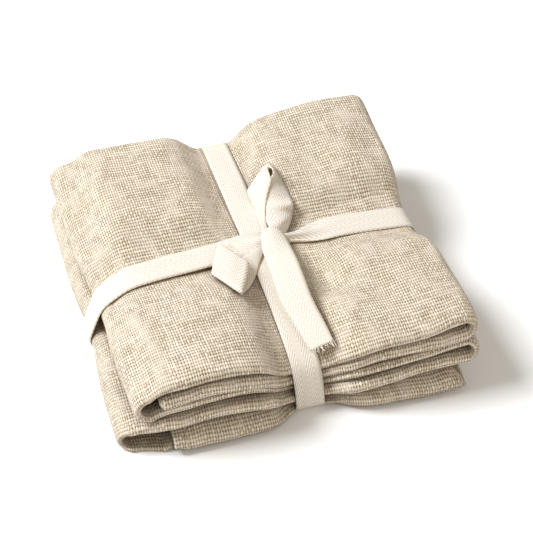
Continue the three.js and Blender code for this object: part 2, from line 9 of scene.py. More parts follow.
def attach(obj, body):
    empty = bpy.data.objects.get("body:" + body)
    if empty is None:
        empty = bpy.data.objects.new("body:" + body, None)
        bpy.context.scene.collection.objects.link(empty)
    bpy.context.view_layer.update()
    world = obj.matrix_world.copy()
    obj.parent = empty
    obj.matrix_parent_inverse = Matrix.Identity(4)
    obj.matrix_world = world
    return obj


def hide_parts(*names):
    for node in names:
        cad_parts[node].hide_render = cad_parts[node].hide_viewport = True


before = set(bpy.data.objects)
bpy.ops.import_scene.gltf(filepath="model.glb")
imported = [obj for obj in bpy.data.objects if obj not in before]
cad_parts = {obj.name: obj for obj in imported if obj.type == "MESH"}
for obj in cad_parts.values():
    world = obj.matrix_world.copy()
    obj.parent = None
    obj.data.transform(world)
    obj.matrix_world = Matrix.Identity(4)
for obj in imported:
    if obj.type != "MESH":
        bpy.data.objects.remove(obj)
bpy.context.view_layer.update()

bl_info = {
    "name": "Folded dish towel",
    "version": (1, 0, 0),
    "blender": (4, 5, 0),
    "location": "3D View > Sidebar > Towel",
    "description": "Linen towel folded into a bundle and tied crosswise with cotton tape",
    "category": "Mesh",
}

MM = 0.001


def table(columns, *rows):
    """Rows of values with the names of their columns."""
    return [dict(zip(columns, row)) for row in rows]


# Middle of the bundle's plan, in the millimetres of the tables below
PLAN_CENTRE = (-1.21, -2.16)

# Cloth, in millimetres
PLY_GAP = 0.7
PLY_THICKEST = 6.2
HALF_DEPTH = 80
FOLD_BULGE = 0.6
FOLD_NUDGE = 0.02
CORNER_FAR = 26
CORNER_NEAR = 7
PRESS_FLAT = 7

# Plies in the order in which the cloth runs through them
PLY_COLUMNS = ("name", "level", "pitch", "front", "back", "sag", "wave", "phase")
PLIES = table(
    PLY_COLUMNS,
    ("tongue", 4, 6.0, -80.0, 80.0, 1.8, 0.9, 0.4),
    ("top", 5, 5.0, -78.5, 79.0, 2.1, 0.6, 1.7),
    ("second", 3, 4.6, -79.5, 80.5, 1.5, 0.8, 2.9),
    ("third", 2, 6.6, -82.5, 80.0, 1.2, 0.9, 4.1),
    ("base", 0, 5.6, -76.0, 78.5, 0.0, 0.5, 5.0),
    ("flap", 1, 5.6, -84.6, 79.5, 0.0, 0.9, 0.9),
)
TOP_PLY = PLIES[1]
PITCH_TOTAL = sum(ply["pitch"] for ply in PLIES)

# Folds between one ply and the next: reach at the back and at the front, place of the
# crease, how far the corners draw in, how full the plies stay on the fold, and the length
# over which they grow thinner toward it
FOLD_COLUMNS = ("side", "back", "front", "low", "corner", "pinch", "fullest", "taper")
FOLDS = table(
    FOLD_COLUMNS,
    (1, 80.5, 80.5, 1.0, 1.0, 0.82, 0.86, 10),
    (-1, -82.5, -72.5, 0.78, 1.5, 0.82, 0.86, 10),
    (1, 79.5, 82.0, 1.0, 0.4, 0.82, 0.86, 10),
    (-1, -84.5, -81.0, 0.72, 5.0, 0.82, 0.86, 10),
    (1, 74.5, 75.0, 1.0, 0.6, 1.0, 0.97, 4),
)

# Free ends of the cloth inside its folds: place, share of the pitch beyond it, and fall
FREE_ENDS = {"tongue": (-61.5, 0.34, 15), "flap": (-57.5, 0.5, 14)}
TIP_REACH = 2.4

# Height of the full stack away from the tape, in rows from front to back
PUFF_X = (-80, -60, -40, -20, 0, 20, 40, 60, 80)
PUFF_Y = (-76, -40, 0, 40, 78)
PUFF = (
    (31.5, 36.5, 41.0, 39.0, 34.5, 34.5, 38.0, 40.0, 41.5),
    (34.0, 36.5, 39.5, 39.0, 37.5, 38.5, 40.0, 40.5, 40.5),
    (36.0, 38.0, 39.0, 39.0, 38.0, 39.0, 40.0, 40.0, 38.5),
    (40.0, 41.5, 42.5, 42.0, 41.0, 42.0, 44.0, 45.5, 43.5),
    (50.0, 45.0, 43.8, 43.6, 42.5, 45.5, 49.0, 51.5, 51.5),
)

# Where the two tapes run, and the height to which they press the stack
ACROSS_X, ACROSS_Y, ACROSS_HEIGHT = zip(
    (-82, -9.5, 31.0), (-60, -7.2, 33.0), (-20, -3.2, 33.0), (0, -0.5, 32.2),
    (18, -1.0, 32.2), (45, 1.2, 32.5), (82, 1.5, 30.5),
)
LENGTH_Y, LENGTH_X, LENGTH_HEIGHT = zip(
    (-80, 4.4, 20.5), (-60, 4.0, 26.0), (-30, 3.3, 31.0),
    (0, 2.7, 32.0), (45, 1.7, 33.5), (80, 1.0, 35.0),
)
TOP_SPREAD = 12
LENGTH_TOP_SPREAD = 9
UNDER_SPREAD = 4
TAPE_RECESS = 2.5
FRONT_DENT, FRONT_DENT_SPREAD = 7.0, 9
BACK_DENT, BACK_DENT_SPREAD = 2.4, 6
BACK_CORNER_SHARE = 0.4
SIDE_DENT, SIDE_DENT_SPREAD = 2.0, 16

# Sag of the front and back edges, and the roll of the flap's front edge
SAG_START = -66
SAG_LENGTH = 14
BACK_SAG_START = 68
BACK_SAG_SHARE = 0.7
ROLL_START, ROLL_LENGTH, ROLL_FOOT = -75, 3.5, 0.6
ROLL_SLOPE, ROLL_SLOPE_LENGTH = 5.5, 10
ROLL_LEFT = (-57.5, -54.0)
FORWARD_LEFT, FORWARD_LEFT_BY = (-52, -60), 8.0

# Corner at the front left, where the base is a thin lip below an open fold
LIP_X, LIP_Y, LIP_SHARE = (-56, -62), (-62, -72), 0.65

# Soft troughs and ridges in the cloth, from one place to another, in millimetres
CREASE_COLUMNS = ("x0", "y0", "x1", "y1", "width", "height")
CREASES = table(
    CREASE_COLUMNS,
    (20, -14, 46, -52, 9.0, -1.3),
    (30, -8, 70, -22, 8.0, 0.9),
    (14, -20, 24, -62, 7.0, 0.8),
    (-14, -16, -44, -34, 9.0, -1.2),
    (-20, -30, -58, -52, 11.0, 0.8),
    (-12, 14, -34, 40, 10.0, -0.8),
    (-26, 22, -60, 58, 12.0, 0.7),
    (22, 14, 44, 44, 9.0, -0.9),
    (34, 14, 74, 34, 11.0, 0.8),
    (-50, 4, -74, 26, 8.0, -0.7),
    (20.5, -2, 24, -36, 8.5, -9.0),
)
# The last one lies beside the tail, and the tape was placed over the others
CREASES_UNDER_TAPE = CREASES[:-1]

# Slow unevenness of the cloth: waves along X and Y, in turns over 100 mm, and height,
# how the waves of one ply are shifted, and the heights at which they begin and are whole
SWELLS = (
    (2.3, 1.1, 0.26), (-1.4, 2.9, 0.2), (4.1, -2.2, 0.1),
    (3.3, 5.2, 0.06), (-6.4, 3.7, 0.05), (8.3, 6.1, 0.03),
)
SWELL_LENGTH = 100
SWELL_SHIFT = 1.3
SWELL_FROM, SWELL_WHOLE = 3, 9

# Strips of tape at the knot, row by row across the tape: the pixels at which the camera
# sees one edge and the other, their heights above the cloth in millimetres, and how far
# the middle bulges toward the camera, or the pixel and height of the middle. Where the
# second edge has no height, the width of the tape there gives it. The first two rows of
# the tail are hidden in the knot.
EDGES = ("x0", "y0", "lift0", "x1", "y1", "lift1", "bulge")
WIDTHS = ("x0", "y0", "lift0", "x1", "y1", "width", "bulge")
MIDDLES = ("x0", "y0", "lift0", "x1", "y1", "lift1", "x_middle", "y_middle", "lift_middle")
BOW = table(
    EDGES,
    (268, 231, 3.4, 262.5, 234, 2.4, 0.5),
    (266.2, 222.5, 5.6, 258.8, 224, 2.6, 0.9),
) + table(
    WIDTHS,
    (264.9, 213, 7.4, 254.3, 211, 11.5, 0.9),
    (265.8, 203, 8.4, 249.6, 200.5, 12.8, 0.8),
    (268.2, 191, 9.2, 247.5, 191.3, 13, 0.8),
    (270.8, 181, 10.2, 251, 185, 13, 0.8),
    (268.9, 173, 11.4, 257.8, 174.8, 13, 0.5),
    (266.9, 167.6, 12.3, 263.6, 167.3, 13, 0.3),
    (268.6, 166.2, 12.5, 268.2, 164.4, 13, 0.3),
    (272.2, 168.6, 12.2, 273.4, 166.4, 13, 0.3),
    (273.2, 173.4, 11.2, 277.6, 173.5, 13, 0.5),
    (270.4, 179.5, 9.6, 282.3, 182, 13, 0.9),
    (268.4, 188, 8.6, 287.5, 190.5, 13, 1.1),
    (266.4, 197, 8.0, 291.6, 198.5, 13, 1.2),
    (264.9, 205.5, 7.4, 293, 205, 13, 1.2),
) + table(
    MIDDLES,
    (264.6, 213.5, 6.6, 292.8, 210.5, 1.2, 281.5, 212, 5.8),
    (265.6, 220, 5.8, 291.4, 217.5, 0.8, 284.8, 218.4, 5.6),
    (268.5, 226.5, 4.8, 289, 226, 0.8, 279.5, 225.8, 5.0),
    (271.5, 231, 3.4, 285.5, 234, 1.0, 277, 231.5, 3.4),
)
TAIL = table(
    MIDDLES,
    (262.5, 236.5, 0.6, 281.5, 236.5, 0.6, 271.5, 234, 1.2),
    (262.5, 232.5, 3.0, 281.5, 233, 3.0, 271.5, 229, 4.4),
    (262.1, 231.8, 4.8, 282, 232.5, 4.6, 271.4, 227.6, 6.2),
    (261.2, 237, 5.4, 286, 237, 4.6, 273.4, 233, 6.8),
    (261.6, 243.5, 5.6, 289.2, 243.5, 5.4, 275.4, 241.5, 6.8),
) + table(
    EDGES,
    (262.8, 251, 6.2, 293.3, 251, 6.4, 0.5),
    (265.7, 259, 6.8, 297.3, 259, 7.4, 0.4),
    (272.3, 277, 7.2, 304.2, 277, 8.2, 0.4),
    (280.2, 300, 6.6, 312.9, 299.5, 7.6, 0.4),
    (291.5, 320, 5.6, 323, 319, 6.4, 0.5),
    (301.8, 337, 5.0, 329.4, 331.5, 5.6, 0.5),
    (310.5, 351.2, 5.0, 333.4, 340.3, 5.6, 0.3),
)
SHORT_END = table(
    EDGES,
    (262.8, 247, 2.6, 265, 250, 2.6, 0.3),
    (256, 250.3, 3.4, 261.8, 257, 2.4, 0.6),
    (248.5, 253.6, 3.6, 259.4, 264, 2.0, 0.7),
    (240, 257, 3.4, 257.2, 272, 1.7, 0.8),
    (230, 261.3, 3.0, 253.6, 281, 1.4, 0.8),
    (220, 265.8, 2.8, 248.8, 288, 1.5, 0.7),
    (213.2, 269.8, 3.0, 243.6, 293, 2.0, 0.5),
    (211.6, 273.6, 4.0, 241.8, 294, 3.4, 0.3),
    (211.9, 270.5, 5.0, 242.4, 291.2, 4.8, 0.5),
    (213, 262.5, 5.6, 245.8, 281.8, 5.8, 0.9),
    (215.6, 252.8, 5.8, 248.6, 271, 6.4, 1.0),
    (218.8, 243.2, 5.6, 249, 263, 6.2, 0.6),
)
# Heights that are tried for a second edge: lowest, highest and how many
SECOND_LIFTS = (0.9, 8, 80)
# Height at which the search for a place seen at a pixel starts, and its rounds
SEEN_HEIGHT, SEEN_ROUNDS = 35.0, 12

# The wrap of the knot: x, y and height above the cloth of edge, middle and edge
KNOT = (
    ((4.6, 3.2, 0.4), (4.0, -1.2, 0.4), (4.4, -5.6, 0.4)),
    ((5.6, 3.4, 3.4), (5.0, -1.2, 4.0), (5.4, -6.0, 3.2)),
    ((9.0, 3.0, 4.6), (9.0, -1.6, 5.4), (9.0, -6.6, 4.0)),
    ((13.0, 1.4, 3.6), (13.6, -2.2, 4.2), (13.2, -6.6, 3.2)),
    ((14.0, 1.0, 0.4), (15.0, -2.4, 0.4), (14.2, -6.4, 0.4)),
)
PINCH_X, PINCH_SPREAD, PINCH_SHARE, PINCH_ABOVE = 16.5, 10, 0.74, 20
LENGTHWISE_SHARE = 0.91
CROSSING_X, CROSSING_LIFT, CROSSING_SPREAD = 2.8, 0.7, 10

# Grid of the cloth: steps along a ply, round a fold and round the rounded free end with
# the angle at which it starts, and how far the hemmed end is tucked in and reaches out
RUN_STEPS = 44
TURN_STEPS = 11
TIP_STEPS = 5
TIP_START = 8
HEM_STEPS = ((0.15, 2.0), (0.55, 2.35), (0.95, 2.0), (1.1, 0.0), (1.1, -4.0))

# Lines across: hidden layer, back fold, outer layer, front fold, last layer and its hem
HIDDEN_LINES = 9
BACK_LINES = 5
OUTER_LINES = 50
FRONT_LINES = 15
LAST_LINES = 15
HEM_LINES = 4
OUTER_START = HIDDEN_LINES + BACK_LINES
OUTER_GAPS = slice(OUTER_START, OUTER_START + OUTER_LINES - 1)
BACK_INSET = 2.0
HEM_ROUND = 0.6
HEM_LEVEL = 0.64
LEAST_ROOM = 0.3
FOLD_RADIUS = 3.4
FOLD_SQUARENESS = 3.1
HEM_WIDTH = 7.0
HEM_INSET = 3.0
INNER_LAYER_INSET = 9.0
FRONT_SLACK, FRONT_SLACK_LENGTH = 0.08, 10
HEM_TUCKED = 7.0
SEWN_LINES = (16, 96)

# Tape: steps along it, lanes across it, how its edges rise where it is drawn together,
# how far beside it the cloth carries it, and its distance from the cloth
TAPE_STEP = 2.0
STRIP_STEP = 0.8
TAPE_LANES = 8
CURL_RISE, CURL_ANGLE = 0.2, 270
BAND_MARGIN = 0.5
BAND_CLEARANCE = 0.5

# Lights: diameter and distance in metres, direction and colour
LIGHTS = table(
    ("name", "size", "distance", "toward", "colour"),
    ("key", 0.8, 1.6, (-0.8, 0.38, 1.0), (0.98, 1.0, 1.03)),
    ("fill", 0.6, 1.4, (0.3, -1.0, 0.9), (1.0, 0.88, 0.72)),
)
SKY_COLOUR = (1, 0.965, 0.91, 1)
FLOOR_REACH = 3

# Camera of the photograph, in millimetres and degrees, and the size of its picture in pixels
PICTURE_SIZE = (533, 550)
CAMERA_AZIMUTH = -16.1
CAMERA_ELEVATION = 43.0
CAMERA_DISTANCE = 609.0
CAMERA_TARGET = (4.4, -8.85, 20.0)
CAMERA_LENS = 85.8
CAMERA_SENSOR = 36.0


def linear(hex_code):
    """The linear colour of an sRGB hex value."""
    channels = [int(hex_code[i:i + 2], 16) / 255 for i in (1, 3, 5)]
    return [c / 12.92 if c <= 0.04045 else ((c + 0.055) / 1.055) ** 2.4 for c in channels]


def mix(a, b, t):
    return a + (b - a) * t


def ease(start, end, value):
    t = np.clip((value - start) / (end - start), 0, 1)
    return t * t * (3 - 2 * t)


def to_camera():
    """Direction from the bundle to the camera of the photograph."""
    azimuth, elevation = math.radians(CAMERA_AZIMUTH), math.radians(CAMERA_ELEVATION)
    level = math.cos(elevation)
    return np.array([math.sin(azimuth) * level, -math.cos(azimuth) * level, math.sin(elevation)])


def along(keys, values, at):
    """Smooth curve through rows that lie at keys, read at many places."""
    keys = np.asarray(keys, float)
    at = np.clip(np.asarray(at, float), keys[0], keys[-1])
    values = np.asarray(values, float)
    if values.ndim == 1:
        values = np.broadcast_to(values.reshape(-1, *[1] * at.ndim), (len(keys), *at.shape))
    i = np.clip(np.searchsorted(keys, at, side="left") - 1, 0, len(keys) - 2)
    before = np.maximum(i - 1, 0)
    after = np.minimum(i + 2, len(keys) - 1)
    rows = (np.take_along_axis(values, k[None], 0)[0] for k in (i, i + 1, before, after))
    low, high, first, last = rows
    span = keys[i + 1] - keys[i]
    t = (at - keys[i]) / span
    slope_in = (high - first) / (keys[i + 1] - keys[before])
    slope_out = (last - low) / (keys[after] - keys[i])
    curve = low * (2 * t**3 - 3 * t**2 + 1) + high * (3 * t**2 - 2 * t**3)
    return curve + span * (slope_in * (t**3 - 2 * t**2 + t) + slope_out * (t**3 - t**2))


def across_y(x):
    return along(ACROSS_X, ACROSS_Y, x)


def length_x(y):
    return along(LENGTH_Y, LENGTH_X, y)


def press(distance, spread):
    """How hard the tape presses at this distance from its middle."""
    beyond = np.maximum(0, np.abs(distance) - PRESS_FLAT)
    return np.exp(-((beyond / spread) ** 2))


def crease_height(x, y, creases):
    """Troughs and ridges at a place, each fading at both of its ends."""
    total = np.zeros(np.broadcast(x, y).shape)
    for crease in creases:
        start = np.array([crease["x0"], crease["y0"]], float)
        run = np.array([crease["x1"], crease["y1"]], float) - start
        length = math.hypot(*run)
        along_it = ((x - start[0]) * run[0] + (y - start[1]) * run[1]) / length
        beside = ((x - start[0]) * run[1] - (y - start[1]) * run[0]) / length
        beyond = np.maximum(0, np.abs(along_it - length / 2) - length / 2)
        total += crease["height"] * np.exp(-(beside**2 + beyond**2) / crease["width"] ** 2)
    return total


def swell_height(x, y, phase):
    """Slow unevenness of one ply."""
    total = 0.0
    for number, (turns_x, turns_y, height) in enumerate(SWELLS):
        angle = (turns_x * x + turns_y * y) * math.tau / SWELL_LENGTH
        total = total + height * np.sin(angle + phase * (number + SWELL_SHIFT))
    return total


def stack_height(x, y, creases):
    """Height of the full stack with the tapes pressing valleys into it."""
    across = press(y - across_y(x), TOP_SPREAD)
    lengthwise = press(x - length_x(y), LENGTH_TOP_SPREAD)
    pressed = 1 - (1 - across) * (1 - lengthwise)
    valley = along(ACROSS_X, ACROSS_HEIGHT, x) * across + along(LENGTH_Y, LENGTH_HEIGHT, y) * lengthwise
    free = along(PUFF_Y, np.stack([along(PUFF_X, row, x) for row in PUFF]), y)
    free = free + crease_height(x, y, creases)
    return mix(free, valley / (across + lengthwise + 1e-9), pressed)


def channel(x, y):
    """Depth of the channel under the bundle in which the tapes pass."""
    across = press(y - across_y(x), UNDER_SPREAD)
    lengthwise = press(x - length_x(y), UNDER_SPREAD)
    return TAPE_RECESS * np.maximum(across, lengthwise)


def presence(ply, x):
    """Share of its pitch that a ply takes up at x, beyond the free end that it may have."""
    if ply["name"] not in FREE_ENDS:
        return 1.0
    end, slack, fall = FREE_ENDS[ply["name"]]
    return mix(slack, 1, ease(end - fall, end, x))


def front_dent(x):
    return FRONT_DENT * press(x - LENGTH_X[0], FRONT_DENT_SPREAD)


def back_dent(x):
    return BACK_DENT * press(x - LENGTH_X[-1], BACK_DENT_SPREAD)


def sagging(ply, x, y):
    """Depth by which a ply's edges hang below its level."""
    front = np.clip((SAG_START - (y - front_dent(x))) / SAG_LENGTH, 0, 1)
    back = np.clip((y + back_dent(x) - BACK_SAG_START) / SAG_LENGTH, 0, 1)
    return ply["sag"] * (front**2 + BACK_SAG_SHARE * back**2)


def ply_at(ply, x, y, creases=CREASES):
    """Middle height and half thickness of one ply at places of the plan."""
    scale = stack_height(x, y, creases) / PITCH_TOTAL
    below = sum(each["pitch"] * presence(each, x) for each in PLIES if each["level"] < ply["level"])
    low = below * scale
    high = low + ply["pitch"] * scale - PLY_GAP
    if ply["level"] == 0:
        low = channel(x, y)
    half = np.minimum(high - low, PLY_THICKEST) / 2
    middle = (low + high) / 2
    if ply["level"] == 0:
        half = half * (1 - LIP_SHARE * ease(*LIP_X, x) * ease(*LIP_Y, y))
        middle = low + half
    if ply["name"] == "top":
        middle = high - half
    if ply["name"] == "flap":
        return rolled_flap(middle, half, x, y)
    return middle - sagging(ply, x, y), half


def rolled_flap(middle, half, x, y):
    """The flap's front edge rolls down to the floor in front of the base."""
    reach = y - front_dent(x)
    whole = ease(*ROLL_LEFT, x)
    down = whole * ease(ROLL_START, ROLL_START - ROLL_LENGTH, reach)
    foot = ROLL_FOOT + channel(x, y)
    slope = ROLL_SLOPE * whole * np.clip((ROLL_START - reach) / ROLL_SLOPE_LENGTH, 0, 1)
    low = mix(middle - half, foot, down)
    high = middle + half - slope
    return (low + high) / 2, (high - low) / 2


def fold_at(index, y):
    """Shape of one fold on the lines y."""
    fold = FOLDS[index]
    side = fold["side"]
    reach = mix(fold["front"], fold["back"], np.clip(y / HALF_DEPTH / 2 + 0.5, 0, 1))
    outer = reach - side * SIDE_DENT * press(y - across_y(side * ACROSS_X[-1]), SIDE_DENT_SPREAD)
    start = outer - side * PLY_THICKEST
    for _ in range(3):
        here, from_half = ply_at(PLIES[index], start, y)
        there, to_half = ply_at(PLIES[index + 1], start, y)
        radius = np.abs(here - there) / 2
        from_half = np.minimum(from_half * fold["pinch"], radius * fold["fullest"])
        to_half = np.minimum(to_half * fold["pinch"], radius * fold["fullest"])
        start = outer - side * (radius + (from_half + to_half) / 2)
    return {"side": side, "start": start, "here": here, "there": there, "radius": radius,
            "from_half": from_half, "to_half": to_half, "low": fold["low"]}


def on_fold(fold, turn):
    """Centre line of the cloth on a fold, from 0 at its start to 1 at its end."""
    angle = math.pi * min(max(turn, 0), 1)
    down = ((1 - math.cos(angle)) / 2) ** fold["low"]
    x = fold["start"] + fold["side"] * fold["radius"] * math.sin(angle)
    return x, mix(fold["here"], fold["there"], down)


def cloth_at(step, y):
    """Centre line x and z, half thickness and left-hand normal at one step on the lines y."""
    index = step["index"]
    if step["kind"] == "fold":
        fold = fold_at(index, y)
        x, z = on_fold(fold, step["t"])
        x0, z0 = on_fold(fold, step["t"] - FOLD_NUDGE)
        x1, z1 = on_fold(fold, step["t"] + FOLD_NUDGE)
        length = np.hypot(x1 - x0, z1 - z0)
        half = mix(fold["from_half"], fold["to_half"], step["t"])
        return x, z, half, -(z1 - z0) / length, (x1 - x0) / length
    heading = 1 if index % 2 == 0 else -1
    before = fold_at(index - 1, y) if index > 0 else None
    after = fold_at(index, y) if index < len(FOLDS) else None
    name = PLIES[index]["name"]
    free_x = np.full(y.shape, FREE_ENDS.get(name, (0,))[0] + TIP_REACH)
    start_x = before["start"] if before else free_x
    end_x = after["start"] if after else free_x
    x = mix(start_x, end_x, step["t"])
    z, half = ply_at(PLIES[index], x, y)
    if before:
        half = mix(before["to_half"], half, ease(0, FOLDS[index - 1]["taper"], np.abs(x - start_x)))
    if after:
        half = mix(after["from_half"], half, ease(0, FOLDS[index]["taper"], np.abs(x - end_x)))
    return x, z, half, np.zeros(y.shape), np.full(y.shape, float(heading))


def ply_edges(ply, x):
    """Front and back edge of a ply at x."""
    ripple = ply["wave"] * math.sin(x / 17 + ply["phase"])
    forward = 0
    if ply["name"] == "base":
        forward = FORWARD_LEFT_BY * ease(*FORWARD_LEFT, x)
    return ply["front"] + ripple + front_dent(x) - forward, ply["back"] + ripple - back_dent(x)


def step_edges(step):
    """Front and back edge of the cloth at one step, with the corners drawn in."""
    index = step["index"]
    x = float(cloth_at(step, np.array([float(SAG_START)]))[0][0])
    front, back = ply_edges(PLIES[index], x)
    if step["kind"] == "fold":
        next_front, next_back = ply_edges(PLIES[index + 1], x)
        corner = FOLDS[index]["corner"] * (1 + FOLD_BULGE * math.sin(math.pi * step["t"]))
        back = mix(back, next_back, step["t"]) - corner * BACK_CORNER_SHARE
        return mix(front, next_front, step["t"]) + corner, back
    corners = 0.0
    for i in (index - 1, index):
        if 0 <= i < len(FOLDS):
            distance = (FOLDS[i]["front"] - x) * FOLDS[i]["side"]
            corners += FOLDS[i]["corner"] * float(ease(CORNER_FAR, CORNER_NEAR, distance))
    return front + corners, back - corners * BACK_CORNER_SHARE


def cloth_steps():
    """Steps along the towel's length: the runs of the plies and the folds between them."""
    steps = []
    for index in range(len(PLIES)):
        steps += [{"kind": "run", "index": index, "t": i / RUN_STEPS} for i in range(RUN_STEPS + 1)]
        if index < len(FOLDS):
            steps += [{"kind": "fold", "index": index, "t": i / TURN_STEPS} for i in range(1, TURN_STEPS)]
    steps = [{**step, "tip": 1.0, "tuck": 0.0, "out": 0.0} for step in steps]
    rounded = []
    for i in range(TIP_STEPS):
        angle = math.radians(mix(TIP_START, 90, i / TIP_STEPS))
        rounded.append({**steps[0], "tip": math.sin(angle), "out": TIP_REACH * math.cos(angle)})
    hemmed = [{**steps[-1], "tuck": tuck, "out": out} for tuck, out in HEM_STEPS]
    return rounded + steps + hemmed


def section_lines():
    """Lines across one ply: the place between its edges, insets, and height in the ply.

    The cloth is folded in thirds, so it runs from its hidden edge to the back, over the
    ply's outer side to the front, and round to its hem near the back."""
    lines = []
    for u in np.linspace(0, 1, HIDDEN_LINES):
        lines.append((u, INNER_LAYER_INSET, BACK_INSET, 0.0))
    for i in range(1, BACK_LINES + 1):
        angle = math.pi * i / (BACK_LINES + 1)
        lines.append((1, 0, BACK_INSET * (1 - math.sin(angle)), (math.cos(angle) - 1) / 2))
    for u in np.linspace(1, 0, OUTER_LINES):
        lines.append((u, FOLD_RADIUS, BACK_INSET, -1.0))
    for i in range(1, FRONT_LINES + 1):
        angle = math.pi * (i / (FRONT_LINES + 1) - 0.5)
        inset = 1 - math.cos(angle) ** (2 / FOLD_SQUARENESS)
        level = math.copysign(abs(math.sin(angle)) ** (2 / FOLD_SQUARENESS), angle)
        lines.append((0, FOLD_RADIUS * inset, 0, level))
    for u in np.linspace(0, 1, LAST_LINES):
        lines.append((u, FOLD_RADIUS, HEM_INSET, 1.0))
    for i in range(1, HEM_LINES + 1):
        angle = math.pi * i / HEM_LINES
        level = mix(HEM_LEVEL, 1, (math.cos(angle) + 1) / 2)
        lines.append((1, 0, HEM_INSET - HEM_ROUND * math.sin(angle), level))
    lines.append((1, 0, HEM_INSET + HEM_WIDTH, HEM_LEVEL))
    return np.array(lines, float)


def evened(lengths, reach):
    """Each step's lengths averaged with those of its neighbours, so that the yarns run straight."""
    padded = np.pad(lengths, ((reach, reach), (0, 0)), mode="edge")
    return np.mean([padded[i:i + len(lengths)] for i in range(2 * reach + 1)], axis=0)


@functools.cache
def cloth_grid(thickness):
    """Points of the cloth's middle surface, and its flat lengths along and across."""
    steps = cloth_steps()
    lines = section_lines()
    grid = np.zeros((len(steps), len(lines), 3))
    for k, step in enumerate(steps):
        front, back = step_edges(step)
        u, front_inset, back_inset, level = lines.T
        inset = (1 - step["tip"]) * FOLD_RADIUS + step["tuck"]
        y = mix(front + front_inset + inset, back - back_inset - inset, u)
        x, z, half, normal_x, normal_z = cloth_at(step, y)
        slack = FRONT_SLACK * np.clip(1 - (y - front) / FRONT_SLACK_LENGTH, 0, 1)
        room = np.maximum(half * (1 - slack) - thickness / 2 - step["tuck"], LEAST_ROOM)
        rise = level * room * step["tip"]
        phase = PLIES[step["index"]]["phase"]
        lift = swell_height(x, y, phase) * ease(SWELL_FROM, SWELL_WHOLE, z)
        grid[k] = np.stack([x - step["out"] + normal_x * rise, y, z + lift + normal_z * rise], 1)
    middle = grid.shape[1] // 2
    advance = np.linalg.norm(np.diff(grid, axis=0), axis=2).max(axis=1)
    along_cloth = np.concatenate([[0], np.cumsum(advance)])
    across_cloth = np.zeros(grid.shape[:2])
    advance = np.linalg.norm(np.diff(grid, axis=1), axis=2)
    advance[:, OUTER_GAPS] = evened(advance[:, OUTER_GAPS], RUN_STEPS // 2)
    across_cloth[:, 1:] = np.cumsum(advance, axis=1)
    across_cloth -= across_cloth[:, middle:middle + 1]
    return grid, np.stack([np.broadcast_to(along_cloth[:, None], across_cloth.shape), across_cloth], -1)


def placed(points):
    """Points of the tables in metres, round the part's own origin."""
    centre = np.array([*PLAN_CENTRE, 0.0])
    return (np.asarray(points, float) - centre) * MM


def grid_faces(rows, columns, closed=False):
    """Faces of a grid of points, joined into a ring where it is closed."""
    last = rows if closed else rows - 1
    faces = []
    for i in range(last):
        j = (i + 1) % rows
        for k in range(columns - 1):
            faces.append((i * columns + k, i * columns + k + 1, j * columns + k + 1, j * columns + k))
    return faces


def new_piece(name, points, faces, lengths, material):
    """A mesh piece with its own flat lengths, in metres, as its UV map."""
    mesh = bpy.data.meshes.new(name)
    mesh.from_pydata(placed(points).tolist(), [], faces)
    layer = mesh.uv_layers.new(name="cloth")
    corners = np.zeros(len(mesh.loops), int)
    mesh.loops.foreach_get("vertex_index", corners)
    layer.data.foreach_set("uv", (np.asarray(lengths)[corners] * MM).ravel())
    mesh.polygons.foreach_set("use_smooth", [True] * len(mesh.polygons))
    mesh.materials.append(material)
    mesh.update()
    piece = bpy.data.objects.new(name, mesh)
    bpy.context.scene.collection.objects.link(piece)
    return piece


def thicken(piece, thickness):
    """Give a sheet its thickness on both sides of its middle."""
    solid = piece.modifiers.new("Thickness", "SOLIDIFY")
    solid.thickness = thickness * MM
    solid.offset = 0
    solid.use_even_offset = False


def add_node(tree, kind, links=None, values=None, **settings):
    """A new node with its settings, its own values, and the nodes or outputs linked into it.

    A node that is linked gives its first output."""
    node = tree.nodes.new(kind)
    for name, value in settings.items():
        setattr(node, name, value)
    for key, value in (values or {}).items():
        node.inputs[key].default_value = value
    for key, source in (links or {}).items():
        output = source.outputs[0] if hasattr(source, "outputs") else source
        tree.links.new(output, node.inputs[key])
    return node


def new_material(name):
    """A material with an empty node tree, and what adds nodes to it."""
    material = bpy.data.materials.new(name)
    material.use_nodes = True
    material.node_tree.nodes.clear()
    return material, functools.partial(add_node, material.node_tree)


